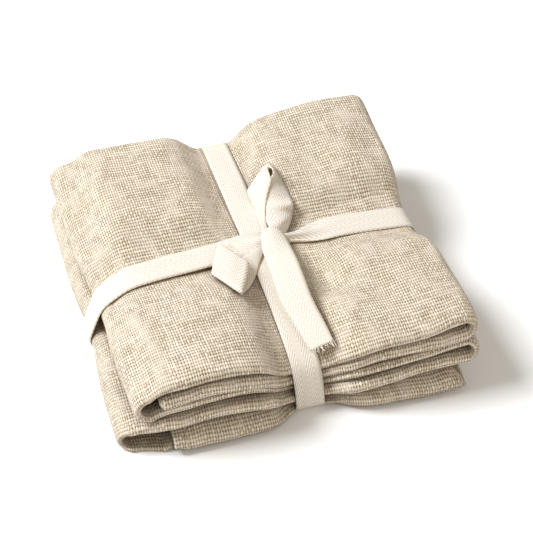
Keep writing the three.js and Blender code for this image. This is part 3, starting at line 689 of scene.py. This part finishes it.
def linen_material(settings):
    """Coarse unbleached linen, plain woven from uneven hand-like yarn.

    Pale rounded threads pass over and under each other and leave small holes at their
    corners, painted dark as painted shade, and thick places in single threads show as short
    pale dashes. Painted shade also darkens the yarn where it dives and the linen deep in
    its folds."""
    material, node = new_material("Coarse_linen_plain_weave")
    uv = node("ShaderNodeUVMap", uv_map="cloth")
    threads = (1 / settings.thread_along, 1 / settings.thread_across, 0)
    place = node("ShaderNodeVectorMath", {0: uv.outputs["UV"]}, {1: threads}, operation="MULTIPLY")
    drift = node("ShaderNodeTexNoise", {"Vector": place}, {"Scale": 0.11, "Detail": 1.0})
    drift_from = node("ShaderNodeVectorMath", {0: drift.outputs["Color"]}, {1: (0.5, 0.5, 0.5)},
                      operation="SUBTRACT")
    wander = node("ShaderNodeVectorMath", {0: drift_from}, {"Scale": 1.1}, operation="SCALE")
    moved = node("ShaderNodeVectorMath", {0: place, 1: wander}, operation="ADD")
    cell = node("ShaderNodeVectorMath", {0: moved}, operation="FLOOR")
    within = node("ShaderNodeVectorMath", {0: moved}, operation="FRACTION")
    centred = node("ShaderNodeVectorMath", {0: within}, {1: (2, 2, 2), 2: (-1, -1, -1)},
                   operation="MULTIPLY_ADD")
    squared = node("ShaderNodeVectorMath", {0: centred, 1: centred}, operation="MULTIPLY")

    # One yarn's number and the place along it give its own thickness and tint
    spot = node("ShaderNodeSeparateXYZ", {0: moved})
    number = node("ShaderNodeSeparateXYZ", {0: cell})
    yarn_noise = []
    for across_output, along_output, offset in (("X", "Y", 0.0), ("Y", "X", 57.3)):
        own = node("ShaderNodeCombineXYZ",
                   {0: number.outputs[across_output], 1: spot.outputs[along_output]}, {2: offset})
        stretched = node("ShaderNodeVectorMath", {0: own}, {1: (3.7, 0.16, 1)}, operation="MULTIPLY")
        yarn_noise.append(node("ShaderNodeTexNoise", {"Vector": stretched},
                               {"Scale": 1.0, "Detail": 1.0}))
    slubs = node("ShaderNodeCombineXYZ", {0: yarn_noise[0], 1: yarn_noise[1]})
    narrow = node("ShaderNodeVectorMath", {0: slubs}, {1: (-1.3, -1.3, 0), 2: (1.95, 1.95, 1)},
                  operation="MULTIPLY_ADD")
    hollow = node("ShaderNodeVectorMath", {0: squared, 1: narrow}, operation="MULTIPLY")
    crown = node("ShaderNodeVectorMath", {1: hollow}, {0: (1, 1, 0)}, operation="SUBTRACT")

    # Over and under: each yarn rises where its number and the crossing one's are even
    crossing = node("ShaderNodeCombineXYZ", {0: spot.outputs["Y"], 1: spot.outputs["X"]})
    phase = node("ShaderNodeVectorMath", {0: crossing, 1: cell}, operation="ADD")
    turn = node("ShaderNodeVectorMath", {0: phase}, {"Scale": math.pi}, operation="SCALE")
    wave = node("ShaderNodeVectorMath", {0: turn}, operation="SINE")
    height = node("ShaderNodeVectorMath", {0: wave, 2: crown}, {1: (0.55, -0.55, 0)},
                  operation="MULTIPLY_ADD")
    sides = node("ShaderNodeSeparateXYZ", {0: height})
    top = node("ShaderNodeMath", {0: sides.outputs["X"], 1: sides.outputs["Y"]}, operation="MAXIMUM")
    which = node("ShaderNodeMath", {0: sides.outputs["X"], 1: sides.outputs["Y"]},
                 operation="GREATER_THAN")
    tint = node("ShaderNodeMix", {0: which, 2: yarn_noise[1], 3: yarn_noise[0]})

    # Fine fibres, a paler yarn one way than the other, and painted shade: yarn painted darker where it
    # dives and paler on its crowns
    fibre = node("ShaderNodeTexNoise", {"Vector": place}, {"Scale": 1.9, "Detail": 2.0})
    tint_more = node("ShaderNodeMath", {0: fibre, 2: tint}, {1: 0.7}, operation="MULTIPLY_ADD")
    tint_most = node("ShaderNodeMath", {0: which, 2: tint_more}, {1: 0.18}, operation="MULTIPLY_ADD")
    raised = node("ShaderNodeMath", {0: top, 2: tint_most}, {1: 0.5}, operation="MULTIPLY_ADD")
    shade = node("ShaderNodeMapRange", {0: raised}, {1: 1.05, 2: 1.8})
    yarn = node("ShaderNodeMix", {0: shade},
                {6: (*linear(settings.yarn_dark), 1), 7: (*linear(settings.yarn_pale), 1)},
                data_type="RGBA")
    # Painted shade: the small holes between the yarns, where the crowns fall low, are painted dark brown
    open_share = node("ShaderNodeMapRange", {0: top}, {1: -0.1, 2: 0.8}, interpolation_type="SMOOTHSTEP")
    woven = node("ShaderNodeMix", {0: open_share, 7: yarn.outputs[2]},
                 {6: (*linear(settings.painted_gap_shade), 1)}, data_type="RGBA")

    # Fuzzy places, where loose fibre hides the weave
    patch = node("ShaderNodeTexNoise", {"Vector": place}, {"Scale": 0.13, "Detail": 3.0})
    fuzz = node("ShaderNodeMapRange", {0: patch}, {1: 0.5, 2: 0.72, 4: 0.7})
    colour = node("ShaderNodeMix", {0: fuzz, 6: woven.outputs[2]}, {7: (*linear(settings.fuzz), 1)},
                  data_type="RGBA")
    # Painted shade: where ambient occlusion finds little open air, deep in folds and hollows, the linen is
    # painted darker
    open_air = node("ShaderNodeAmbientOcclusion", None, {"Distance": 14 * MM}, samples=6)
    painted_fold_shade = node("ShaderNodeMapRange", {0: open_air.outputs["AO"]}, {1: 0.15, 2: 0.78, 3: 0.12, 4: 1.0})
    colour = node("ShaderNodeMix", {0: painted_fold_shade, 7: colour.outputs[2]},
                  {6: (*linear(settings.painted_fold_shade_colour), 1)}, data_type="RGBA")
    relief = node("ShaderNodeMath", {0: fibre, 2: top}, {1: 0.6}, operation="MULTIPLY_ADD")
    bump = node("ShaderNodeBump", {"Height": relief}, {"Strength": 0.7, "Distance": 0.4 * MM})
    shader = node("ShaderNodeBsdfPrincipled", {"Base Color": colour.outputs[2], "Normal": bump},
                  {"Roughness": 0.92, "Specular IOR Level": 0.2, "Sheen Weight": 0.12,
                   "Sheen Roughness": 0.5})
    node("ShaderNodeOutputMaterial", {0: shader})
    return material


def cotton_material(settings):
    """Off-white cotton tape, herringbone woven and soft.

    Fine slanting ribs change their direction four times across the width, the grooves
    between them are painted darker and warmer than the ribs as painted shade, and some
    light comes through the tape, so that the inside of the bow glows warm."""
    material, node = new_material("Cotton_tape_herringbone")
    uv = node("ShaderNodeUVMap", uv_map="cloth")
    parts = node("ShaderNodeSeparateXYZ", {0: uv.outputs["UV"]})
    lane = settings.tape_width / 4
    zigzag = node("ShaderNodeMath", {0: parts.outputs["X"]}, {1: lane}, operation="PINGPONG")
    slant = node("ShaderNodeMath", {0: zigzag, 2: parts.outputs["Y"]}, {1: 2.0},
                 operation="MULTIPLY_ADD")
    turns = node("ShaderNodeMath", {0: slant}, {1: math.tau / settings.rib_pitch}, operation="MULTIPLY")
    rib = node("ShaderNodeMath", {0: turns}, operation="SINE")
    fibre = node("ShaderNodeTexNoise", {"Vector": uv.outputs["UV"]}, {"Scale": 2600.0, "Detail": 2.0})
    level = node("ShaderNodeMath", {0: fibre, 2: rib}, {1: 0.8}, operation="MULTIPLY_ADD")
    share = node("ShaderNodeMapRange", {0: level}, {1: -0.5, 2: 0.5})
    # Painted shade: the grooves between the ribs are painted a darker, warmer colour
    colour = node("ShaderNodeMix", {0: share},
                  {6: (*linear(settings.painted_groove_shade), 1), 7: (*linear(settings.rib), 1)}, data_type="RGBA")
    bump = node("ShaderNodeBump", {"Height": level}, {"Strength": 0.6, "Distance": 0.15 * MM})
    cloth = node("ShaderNodeBsdfPrincipled", {"Base Color": colour.outputs[2], "Normal": bump},
                 {"Roughness": 0.8, "Specular IOR Level": 0.2, "Sheen Weight": 0.05,
                  "Sheen Roughness": 0.4})
    glow = node("ShaderNodeBsdfTranslucent", None, {"Color": (*linear(settings.glow), 1)})
    shader = node("ShaderNodeMixShader", {1: cloth, 2: glow}, {0: 0.3})
    node("ShaderNodeOutputMaterial", {0: shader})
    return material


def thread_material(name, colour):
    """Loose spun thread: matte, with paler and darker places along it."""
    material, node = new_material(name)
    place = node("ShaderNodeTexCoord")
    fibre = node("ShaderNodeTexNoise", {"Vector": place.outputs["Object"]}, {"Scale": 900.0})
    shade = node("ShaderNodeMapRange", {0: fibre}, {1: 0.3, 2: 0.7, 3: 0.7, 4: 1.05})
    tone = node("ShaderNodeVectorMath", {"Scale": shade}, {0: linear(colour)}, operation="SCALE")
    shader = node("ShaderNodeBsdfPrincipled", {"Base Color": tone},
                  {"Roughness": 0.85, "Specular IOR Level": 0.2})
    node("ShaderNodeOutputMaterial", {0: shader})
    return material


def floor_material(settings):
    """Plain white paper sweep, matte."""
    material, node = new_material("White_paper_sweep")
    shader = node("ShaderNodeBsdfPrincipled", None,
                  {"Base Color": (*linear(settings.floor), 1), "Roughness": 0.9,
                   "Specular IOR Level": 0.1})
    node("ShaderNodeOutputMaterial", {0: shader})
    return material


def facing(place, back):
    """Placement at a place with the back turned this way."""
    return Matrix.Translation(place) @ back.to_track_quat("Z", "Y").to_matrix().to_4x4()


def taut_outline(points):
    """Convex outline of flat points, which is the way that a taut tape runs round them."""
    ordered = sorted(map(tuple, points))

    def chain(row):
        kept = []
        for point in row:
            while len(kept) > 1:
                (ax, ay), (bx, by) = kept[-2], kept[-1]
                if (bx - ax) * (point[1] - ay) - (by - ay) * (point[0] - ax) > 0:
                    break
                kept.pop()
            kept.append(point)
        return kept[:-1]

    return np.array(chain(ordered) + chain(ordered[::-1]))


def even_ring(outline, step):
    """The outline's points at even steps, with its corners a little softened."""
    closed = np.vstack([outline, outline[:1]])
    lengths = np.concatenate([[0], np.cumsum(np.linalg.norm(np.diff(closed, axis=0), axis=1))])
    count = round(lengths[-1] / step)
    at = np.linspace(0, lengths[-1], count, endpoint=False)
    ring = np.stack([np.interp(at, lengths, closed[:, axis]) for axis in (0, 1)], 1)
    for _ in range(2):
        ring = ring / 2 + (np.roll(ring, 1, 0) + np.roll(ring, -1, 0)) / 4
    return ring


def ring_normals(ring):
    """Outward normals of a ring that runs anticlockwise."""
    ahead = np.roll(ring, -1, 0) - np.roll(ring, 1, 0)
    ahead /= np.linalg.norm(ahead, axis=1)[:, None]
    return np.stack([ahead[:, 1], -ahead[:, 0]], 1)


def lane_shares():
    return np.linspace(-1, 1, TAPE_LANES + 1)


def curled(width, full_width):
    """Height of each lane above the tape's middle, where the tape is drawn together."""
    spare = math.sqrt(max(0.0, 1 - (width / full_width) ** 2))
    return spare * full_width * CURL_RISE * np.cos(lane_shares() * math.radians(CURL_ANGLE))


def band(grid, flat_axis, settings):
    """Points of a band that runs round the bundle, across it or along it."""
    half = settings.tape_width / MM / 2
    points = grid.reshape(-1, 3)
    middle = across_y(points[:, 0]) if flat_axis == 1 else length_x(points[:, 1])
    near = points[np.abs(points[:, flat_axis] - middle) < half + BAND_MARGIN]
    run_axis = 1 - flat_axis
    clear = BAND_CLEARANCE + (settings.cloth_thickness + settings.tape_thickness) / MM / 2
    ring = even_ring(taut_outline(near[:, [run_axis, 2]]), TAPE_STEP)
    ring = ring + ring_normals(ring) * clear
    normals = ring_normals(ring)
    rows = []
    for (run, z), (normal_run, normal_z) in zip(ring, normals):
        width, over = 2 * half * LENGTHWISE_SHARE, 0.0
        if flat_axis == 1:
            width = 2 * half
            over = CROSSING_LIFT * math.exp(-(((run - CROSSING_X) / CROSSING_SPREAD) ** 2))
        if flat_axis == 1 and z > PINCH_ABOVE:
            width *= 1 - PINCH_SHARE * math.exp(-(((run - PINCH_X) / PINCH_SPREAD) ** 2))
        centre = across_y(run) if flat_axis == 1 else length_x(run)
        lift = over + (curled(width, 2 * half) if flat_axis == 1 else 0)
        row = np.zeros((TAPE_LANES + 1, 3))
        row[:, run_axis] = run + normal_run * lift
        row[:, flat_axis] = centre + lane_shares() * width / 2
        row[:, 2] = z + normal_z * lift
        rows.append(row)
    return np.array(rows)


def cloth_top(x, y, creases=CREASES):
    """Height of the top ply's upper side at places of the plan."""
    middle, half = ply_at(TOP_PLY, x, y, creases)
    return middle + half


def seen_at(pixel_x, pixel_y, lifts):
    """Points that the camera sees at one pixel, at heights above the cloth."""
    back = to_camera()
    right = np.cross((0, 0, 1), back)
    right /= np.linalg.norm(right)
    focal = CAMERA_LENS / CAMERA_SENSOR * max(PICTURE_SIZE)
    aside = right * (pixel_x - PICTURE_SIZE[0] / 2) / focal
    ray = aside + np.cross(back, right) * (PICTURE_SIZE[1] / 2 - pixel_y) / focal - back
    eye = CAMERA_TARGET + back * CAMERA_DISTANCE
    lifts = np.asarray(lifts, float)
    height = np.full(lifts.shape, SEEN_HEIGHT)
    for _ in range(SEEN_ROUNDS):
        points = eye + ray * ((height - eye[2]) / ray[2])[..., None]
        top = cloth_top(points[..., 0], points[..., 1], CREASES_UNDER_TAPE)
        height = (height + top + lifts) / 2
    return points


def seen_rows(rows):
    """Rows of edge, middle and edge, each as x, y and height above the cloth."""
    eye = CAMERA_TARGET + to_camera() * CAMERA_DISTANCE
    corners = []
    for row in rows:
        first = seen_at(row["x0"], row["y0"], row["lift0"])
        if "width" in row:
            tried = seen_at(row["x1"], row["y1"], np.linspace(*SECOND_LIFTS))
            widths = np.linalg.norm(tried - first, axis=1)
            second = tried[np.argmin(np.abs(widths - row["width"]))]
        else:
            second = seen_at(row["x1"], row["y1"], row["lift1"])
        if "bulge" in row:
            middle = (first + second) / 2
            toward = (eye - middle) / np.linalg.norm(eye - middle)
            middle = middle + row["bulge"] * toward
        else:
            middle = seen_at(row["x_middle"], row["y_middle"], row["lift_middle"])
        corners.append((first, middle, second))
    corners = np.array(corners)
    corners[..., 2] -= cloth_top(corners[..., 0], corners[..., 1])
    return np.round(corners, 1)


def strip(rows):
    """Points of a strip of tape with free ends, from its rows of edge, middle and edge."""
    corners = np.array(rows, float)
    corners[..., 2] += cloth_top(corners[..., 0], corners[..., 1])
    lengths = np.linalg.norm(np.diff(corners[:, 1], axis=0), axis=1)
    spans = np.concatenate([[0], np.cumsum(lengths)])
    at = np.linspace(0, spans[-1], max(2, round(spans[-1] / STRIP_STEP)) + 1)
    curves = [np.stack([along(spans, corners[:, k, axis], at) for axis in range(3)], 1) for k in range(3)]
    first, middle, last = (curve[:, None] for curve in curves)
    lanes = lane_shares()[None, :, None]
    centre = (first + last) / 2
    return centre + (last - first) / 2 * lanes + (middle - centre) * (1 - lanes**2)


def strip_lengths(points, width):
    """Flat place of each point of a strip: across and along."""
    middle = points[:, points.shape[1] // 2]
    steps = np.linalg.norm(np.diff(middle, axis=0), axis=1)
    down = np.concatenate([[0], np.cumsum(steps)])
    across = (lane_shares() + 1) * width / 2
    return np.stack(np.broadcast_arrays(across[None, :], down[:, None]), -1).reshape(-1, 2)


def node_tree(name, inputs):
    """A Geometry Nodes tree with a geometry input and named lengths, and what adds nodes to it."""
    tree = bpy.data.node_groups.new(name, "GeometryNodeTree")
    tree.interface.new_socket("Geometry", in_out="INPUT", socket_type="NodeSocketGeometry")
    for each in inputs:
        tree.interface.new_socket(each, in_out="INPUT", socket_type="NodeSocketFloat")
    tree.interface.new_socket("Geometry", in_out="OUTPUT", socket_type="NodeSocketGeometry")
    node = functools.partial(add_node, tree)
    return tree, node, node("NodeGroupInput")


def end_tree(node, instances, material):
    """Make the instances real, give them their material and end the tree with them."""
    real = node("GeometryNodeRealizeInstances", {0: instances})
    finished = node("GeometryNodeSetMaterial", {"Geometry": real}, {"Material": material})
    node("NodeGroupOutput", {0: finished})


def stitch_tree(material):
    """Plump running stitches at an even pitch on the lines of the hem."""
    tree, node, given = node_tree("Running_stitches", ("Stitch pitch", "Stitch length", "Thread radius"))
    line = node("GeometryNodeMeshToCurve", {"Mesh": given.outputs["Geometry"]})
    even = node("GeometryNodeResampleCurve", {"Curve": line, "Length": given.outputs["Stitch pitch"]},
                mode="LENGTH")
    grain = node("GeometryNodeMeshUVSphere", None, {"Segments": 8, "Rings": 6, "Radius": 1.0})
    ahead = node("GeometryNodeInputTangent")
    turned = node("FunctionNodeAlignRotationToVector", {"Vector": ahead}, axis="Z")
    uneven = node("FunctionNodeRandomValue", None, {2: 0.42, 3: 0.54, "Seed": 5})
    reach = node("ShaderNodeMath", {0: given.outputs["Stitch length"], 1: uneven.outputs[1]},
                 operation="MULTIPLY")
    size = node("ShaderNodeCombineXYZ",
                {0: given.outputs["Thread radius"], 1: given.outputs["Thread radius"], 2: reach})
    row = node("GeometryNodeInstanceOnPoints",
               {"Points": even, "Instance": grain, "Rotation": turned, "Scale": size})
    end_tree(node, row, material)
    return tree


def fray_tree(material):
    """Short bent threads that stand out of a cut edge, each its own way and length."""
    tree, node, given = node_tree("Frayed_edge", ("Thread spacing", "Thread length", "Thread radius"))
    edge = node("GeometryNodeMeshToCurve", {"Mesh": given.outputs["Geometry"]})
    even = node("GeometryNodeResampleCurve", {"Curve": edge, "Length": given.outputs["Thread spacing"]},
                mode="LENGTH")
    bend = node("GeometryNodeCurveQuadraticBezier", None,
                {"Resolution": 6, "Start": (0, 0, -0.1), "Middle": (0.05, 0, 0.5), "End": (0.32, 0, 1)})
    slim = node("ShaderNodeMath", {0: given.outputs["Thread radius"], 1: given.outputs["Thread length"]},
                operation="DIVIDE")
    ring = node("GeometryNodeCurvePrimitiveCircle", {"Radius": slim}, {"Resolution": 5})
    thread = node("GeometryNodeCurveToMesh", {"Curve": bend, "Profile Curve": ring}, {"Fill Caps": True})
    outward = node("GeometryNodeInputNamedAttribute", None, {"Name": "outward"},
                   data_type="FLOAT_VECTOR")
    stray = node("FunctionNodeRandomValue", None,
                 {0: (-0.55, -0.55, -0.35), 1: (0.55, 0.55, 0.35), "Seed": 11}, data_type="FLOAT_VECTOR")
    way = node("ShaderNodeVectorMath", {0: outward, 1: stray}, operation="ADD")
    turned = node("FunctionNodeAlignRotationToVector", {"Vector": way}, axis="Z")
    rolled = node("FunctionNodeRandomValue", None, {2: 0.0, 3: math.tau, "Seed": 23})
    about = node("FunctionNodeAxisAngleToRotation", {"Angle": rolled.outputs[1]}, {"Axis": (0, 0, 1)})
    both = node("FunctionNodeRotateRotation", {0: turned, 1: about}, rotation_space="LOCAL")
    uneven = node("FunctionNodeRandomValue", None, {2: 0.3, 3: 1.0, "Seed": 31})
    size = node("ShaderNodeMath", {0: given.outputs["Thread length"], 1: uneven.outputs[1]},
                operation="MULTIPLY")
    threads = node("GeometryNodeInstanceOnPoints",
                   {"Points": even, "Instance": thread, "Rotation": both, "Scale": size})
    end_tree(node, threads, material)
    return tree


def grown(name, lines, tree, lengths, outward=None):
    """A piece that a node tree grows on lines, as a plain mesh."""
    mesh = bpy.data.meshes.new(name)
    edges = []
    for line in lines:
        first = edges[-1][1] + 1 if edges else 0
        edges += [(first + i, first + i + 1) for i in range(len(line) - 1)]
    mesh.from_pydata(placed(np.concatenate(lines)).tolist(), edges, [])
    if outward is not None:
        layer = mesh.attributes.new("outward", "FLOAT_VECTOR", "POINT")
        layer.data.foreach_set("vector", np.concatenate(outward).ravel())
    piece = bpy.data.objects.new(name, mesh)
    bpy.context.scene.collection.objects.link(piece)
    grow = piece.modifiers.new("Grow", "NODES")
    grow.node_group = tree
    for socket in tree.interface.items_tree:
        if socket.name in lengths:
            grow[socket.identifier] = lengths[socket.name]
    evaluated = piece.evaluated_get(bpy.context.evaluated_depsgraph_get())
    plain = bpy.data.meshes.new_from_object(evaluated)
    piece.modifiers.clear()
    piece.data = plain
    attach(piece, "root")
    return piece


def outer_line(grid, columns, step, thickness):
    """Line across the cloth on its outer side at one step, in table millimetres."""
    here = grid[step, columns]
    side = np.cross(grid[step, columns + 1] - here, grid[step - 1, columns] - here)
    side /= np.linalg.norm(side, axis=1)[:, None]
    return here + side * thickness / 2


class TowelSettings(bpy.types.PropertyGroup):
    """Sizes and colours of the cloth."""
    cloth_thickness: bpy.props.FloatProperty(
        name="Cloth thickness", description="Thickness of one layer of linen", default=1.0 * MM,
        unit="LENGTH")
    thread_along: bpy.props.FloatProperty(
        name="Thread spacing along", description="Pitch of the yarn along the towel", default=1.2 * MM,
        unit="LENGTH")
    thread_across: bpy.props.FloatProperty(
        name="Thread spacing across", description="Pitch of the yarn across the towel", default=1.7 * MM,
        unit="LENGTH")
    # The yarn runs from the dark to the pale colour with its own tint and, as painted shade, with its
    # height in the weave
    yarn_pale: bpy.props.StringProperty(
        name="Pale yarn", description="sRGB colour of the palest yarn", default="#E3D8C6")
    yarn_dark: bpy.props.StringProperty(
        name="Dark yarn", description="sRGB colour of the darkest yarn", default="#9C8A70")
    # Colour of the painted shade in the holes between the yarns
    painted_gap_shade: bpy.props.StringProperty(
        name="Gaps", description="sRGB colour in the gaps between yarns", default="#3B2C1A")
    # Colour of the painted shade deep in the folds and hollows of the linen
    painted_fold_shade_colour: bpy.props.StringProperty(
        name="Deep in a fold", description="sRGB colour of linen deep in its folds", default="#4E3F2C")
    fuzz: bpy.props.StringProperty(
        name="Loose fibre", description="sRGB colour of the places where loose fibre hides the weave",
        default="#D2C5B5")


class ThreadSettings(bpy.types.PropertyGroup):
    """Sizes and colours of the sewing and of the loose threads."""
    stitch_pitch: bpy.props.FloatProperty(
        name="Stitch pitch", description="Distance from one stitch to the next", default=3.2 * MM,
        unit="LENGTH")
    stitch_length: bpy.props.FloatProperty(
        name="Stitch length", description="Length of the thread that shows", default=2.5 * MM,
        unit="LENGTH")
    sewing_radius: bpy.props.FloatProperty(
        name="Sewing thread radius", description="Half the thickness of the sewing thread",
        default=0.3 * MM, unit="LENGTH")
    fray_spacing: bpy.props.FloatProperty(
        name="Loose thread spacing", description="Distance between loose threads", default=0.45 * MM,
        unit="LENGTH")
    fray_length: bpy.props.FloatProperty(
        name="Loose thread length", description="Longest of the loose threads", default=3.4 * MM,
        unit="LENGTH")
    fray_radius: bpy.props.FloatProperty(
        name="Loose thread radius", description="Half the thickness of a loose thread", default=0.14 * MM,
        unit="LENGTH")
    sewing: bpy.props.StringProperty(
        name="Sewing thread", description="sRGB colour of the sewing thread", default="#DDD0BA")
    loose: bpy.props.StringProperty(
        name="Loose thread", description="sRGB colour of the tape's loose threads", default="#F4EEE2")


class TapeSettings(bpy.types.PropertyGroup):
    """Sizes and colours of the tape."""
    tape_width: bpy.props.FloatProperty(
        name="Tape width", description="Width of the cotton tape", default=14.0 * MM, unit="LENGTH")
    tape_thickness: bpy.props.FloatProperty(
        name="Tape thickness", description="Thickness of the cotton tape", default=0.6 * MM, unit="LENGTH")
    tape_length: bpy.props.FloatProperty(
        name="Tape length", description="Length that the tape was cut to", default=1.1, unit="LENGTH")
    rib_pitch: bpy.props.FloatProperty(
        name="Rib pitch", description="Spacing of the ribs along the tape", default=2.4 * MM, unit="LENGTH")
    cloth_thickness: bpy.props.FloatProperty(
        name="Cloth below", description="Thickness of the cloth that the tape lies on", default=1.0 * MM,
        unit="LENGTH")
    rib: bpy.props.StringProperty(name="Ribs", description="sRGB colour of the ribs", default="#FEFCF8")
    # Colour of the painted shade in the grooves between the ribs
    painted_groove_shade: bpy.props.StringProperty(
        name="Grooves", description="sRGB colour between the ribs", default="#DDD3C4")
    glow: bpy.props.StringProperty(
        name="Glow", description="sRGB colour of light that comes through the tape", default="#FFEFCC")


class StageSettings(bpy.types.PropertyGroup):
    """Floor and light of the studio."""
    floor: bpy.props.StringProperty(name="Floor", description="sRGB colour of the floor", default="#F4F4F4")
    key_power: bpy.props.FloatProperty(
        name="Key light", description="Power of the large light above on the left", default=36.0,
        unit="POWER")
    fill_power: bpy.props.FloatProperty(
        name="Fill light", description="Power of the weak warm light in front", default=4.6, unit="POWER")
    sky_strength: bpy.props.FloatProperty(
        name="Soft light", description="Strength of the even light from all round", default=0.38)


class TOWEL_OT_cloth(bpy.types.Operator):
    """Make the folded towel as one continuous sheet of linen."""
    bl_idname = "towel.cloth"
    bl_label = "Folded towel"

    def execute(self, context):
        settings = context.scene.towel_cloth
        thickness = settings.cloth_thickness / MM
        grid, lengths = cloth_grid(thickness)
        faces = grid_faces(*grid.shape[:2])
        towel = new_piece("linen_towel", grid.reshape(-1, 3), faces, lengths.reshape(-1, 2),
                          linen_material(settings))
        thicken(towel, thickness)
        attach(towel, "root")
        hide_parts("towel")
        return {"FINISHED"}


class TOWEL_OT_tape(bpy.types.Operator):
    """Make the cotton tape: both bands, the bow loop and the two free ends."""
    bl_idname = "towel.tape"
    bl_label = "Cotton tape"

    def execute(self, context):
        settings = context.scene.towel_tape
        width = settings.tape_width / MM
        grid = cloth_grid(settings.cloth_thickness / MM)[0]
        points, faces, lengths = [], [], []
        parts = [(band(grid, 1, settings), True), (band(grid, 0, settings), True)]
        free = (seen_rows(BOW), KNOT, seen_rows(TAIL), seen_rows(SHORT_END))
        parts += [(strip(rows), False) for rows in free]
        for part, closed in parts:
            if closed:
                part = np.concatenate([part, part[:1]])
            first = sum(len(each) for each in points)
            faces += [tuple(first + corner for corner in face) for face in grid_faces(*part.shape[:2])]
            points.append(part.reshape(-1, 3))
            lengths.append(strip_lengths(part, width))
        tie = new_piece("cotton_tape", np.concatenate(points), faces, np.concatenate(lengths),
                        cotton_material(settings))
        thicken(tie, settings.tape_thickness / MM)
        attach(tie, "root")
        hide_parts("tape")
        return {"FINISHED"}


class TOWEL_OT_stitches(bpy.types.Operator):
    """Sew the hems at both ends of the towel with running stitches."""
    bl_idname = "towel.stitches"
    bl_label = "Hem stitches"

    def execute(self, context):
        settings = context.scene.towel_threads
        thickness = context.scene.towel_cloth.cloth_thickness / MM
        grid, lengths = cloth_grid(thickness)
        middle = lengths[:, 0, 0]
        columns = np.arange(*SEWN_LINES)
        lines = [outer_line(grid, columns, int(np.searchsorted(middle, at)), thickness)
                 for at in (HEM_WIDTH, middle[-1] - HEM_WIDTH - HEM_TUCKED)]
        tree = stitch_tree(thread_material("Linen_sewing_thread", settings.sewing))
        piece = grown("hem_stitches", lines, tree, {
            "Stitch pitch": settings.stitch_pitch, "Stitch length": settings.stitch_length,
            "Thread radius": settings.sewing_radius})
        return {"FINISHED"}


class TOWEL_OT_fray(bpy.types.Operator):
    """Fray the cut ends of the tape."""
    bl_idname = "towel.fray"
    bl_label = "Frayed tape ends"

    def execute(self, context):
        settings = context.scene.towel_threads
        ends = [strip(seen_rows(rows))[-2:] for rows in (TAIL, SHORT_END)]
        outward = [end[1] - end[0] for end in ends]
        outward = [each / np.linalg.norm(each, axis=1)[:, None] for each in outward]
        tree = fray_tree(thread_material("Cotton_loose_thread", settings.loose))
        piece = grown("frayed_tape_ends", [end[1] for end in ends], tree, {
            "Thread spacing": settings.fray_spacing, "Thread length": settings.fray_length,
            "Thread radius": settings.fray_radius}, outward)
        return {"FINISHED"}


class TOWEL_OT_stage(bpy.types.Operator):
    """Make the white floor, the studio light and the camera."""
    bl_idname = "towel.stage"
    bl_label = "Stage"

    def execute(self, context):
        settings = context.scene.towel_stage
        scene = context.scene
        mesh = bpy.data.meshes.new("floor")
        corners = [(x * FLOOR_REACH, y * FLOOR_REACH, 0) for x, y in ((-1, -1), (1, -1), (1, 1), (-1, 1))]
        mesh.from_pydata(corners, [], [(0, 1, 2, 3)])
        mesh.materials.append(floor_material(settings))
        floor = bpy.data.objects.new("floor", mesh)
        scene.collection.objects.link(floor)

        world = bpy.data.worlds.new("studio")
        world.use_nodes = True
        sky = world.node_tree.nodes["Background"]
        sky.inputs["Color"].default_value = SKY_COLOUR
        sky.inputs["Strength"].default_value = settings.sky_strength
        scene.world = world

        for row, power in zip(LIGHTS, (settings.key_power, settings.fill_power)):
            light = bpy.data.lights.new(row["name"], "AREA")
            light.shape = "DISK"
            light.size = row["size"]
            light.energy = power
            light.color = row["colour"]
            lamp = bpy.data.objects.new(row["name"], light)
            toward = Vector(row["toward"]).normalized()
            lamp.matrix_world = facing(toward * row["distance"], toward)
            scene.collection.objects.link(lamp)

        back = Vector(to_camera())
        lens = bpy.data.cameras.new("camera")
        lens.lens = CAMERA_LENS
        lens.sensor_width = CAMERA_SENSOR
        lens.clip_start = 0.01
        camera = bpy.data.objects.new("camera", lens)
        target = Vector(placed([CAMERA_TARGET])[0])
        camera.matrix_world = facing(target + back * CAMERA_DISTANCE * MM, back)
        scene.collection.objects.link(camera)
        scene.camera = camera
        scene.view_settings.view_transform = "Standard"
        return {"FINISHED"}


class TOWEL_PT_panel(bpy.types.Panel):
    """Sizes, colours and operators of the towel."""
    bl_idname = "TOWEL_PT_panel"
    bl_label = "Towel"
    bl_space_type = "VIEW_3D"
    bl_region_type = "UI"
    bl_category = "Towel"

    def draw(self, context):
        for group in GROUPS:
            settings = getattr(context.scene, group)
            for name in GROUPS[group].__annotations__:
                self.layout.prop(settings, name)
        for operator in OPERATORS:
            self.layout.operator(operator.bl_idname)


GROUPS = {"towel_cloth": TowelSettings, "towel_tape": TapeSettings, "towel_threads": ThreadSettings,
          "towel_stage": StageSettings}
OPERATORS = (TOWEL_OT_stage, TOWEL_OT_cloth, TOWEL_OT_tape, TOWEL_OT_stitches, TOWEL_OT_fray)
CLASSES = (*GROUPS.values(), *OPERATORS, TOWEL_PT_panel)


def register():
    for each in CLASSES:
        bpy.utils.register_class(each)
    for name, group in GROUPS.items():
        setattr(bpy.types.Scene, name, bpy.props.PointerProperty(type=group))


def unregister():
    for name in GROUPS:
        delattr(bpy.types.Scene, name)
    for each in reversed(CLASSES):
        bpy.utils.unregister_class(each)


def main():
    register()
    bpy.ops.towel.stage()
    bpy.ops.towel.cloth()
    bpy.ops.towel.tape()
    bpy.ops.towel.stitches()
    bpy.ops.towel.fray()


if __name__ == "__main__":
    main()
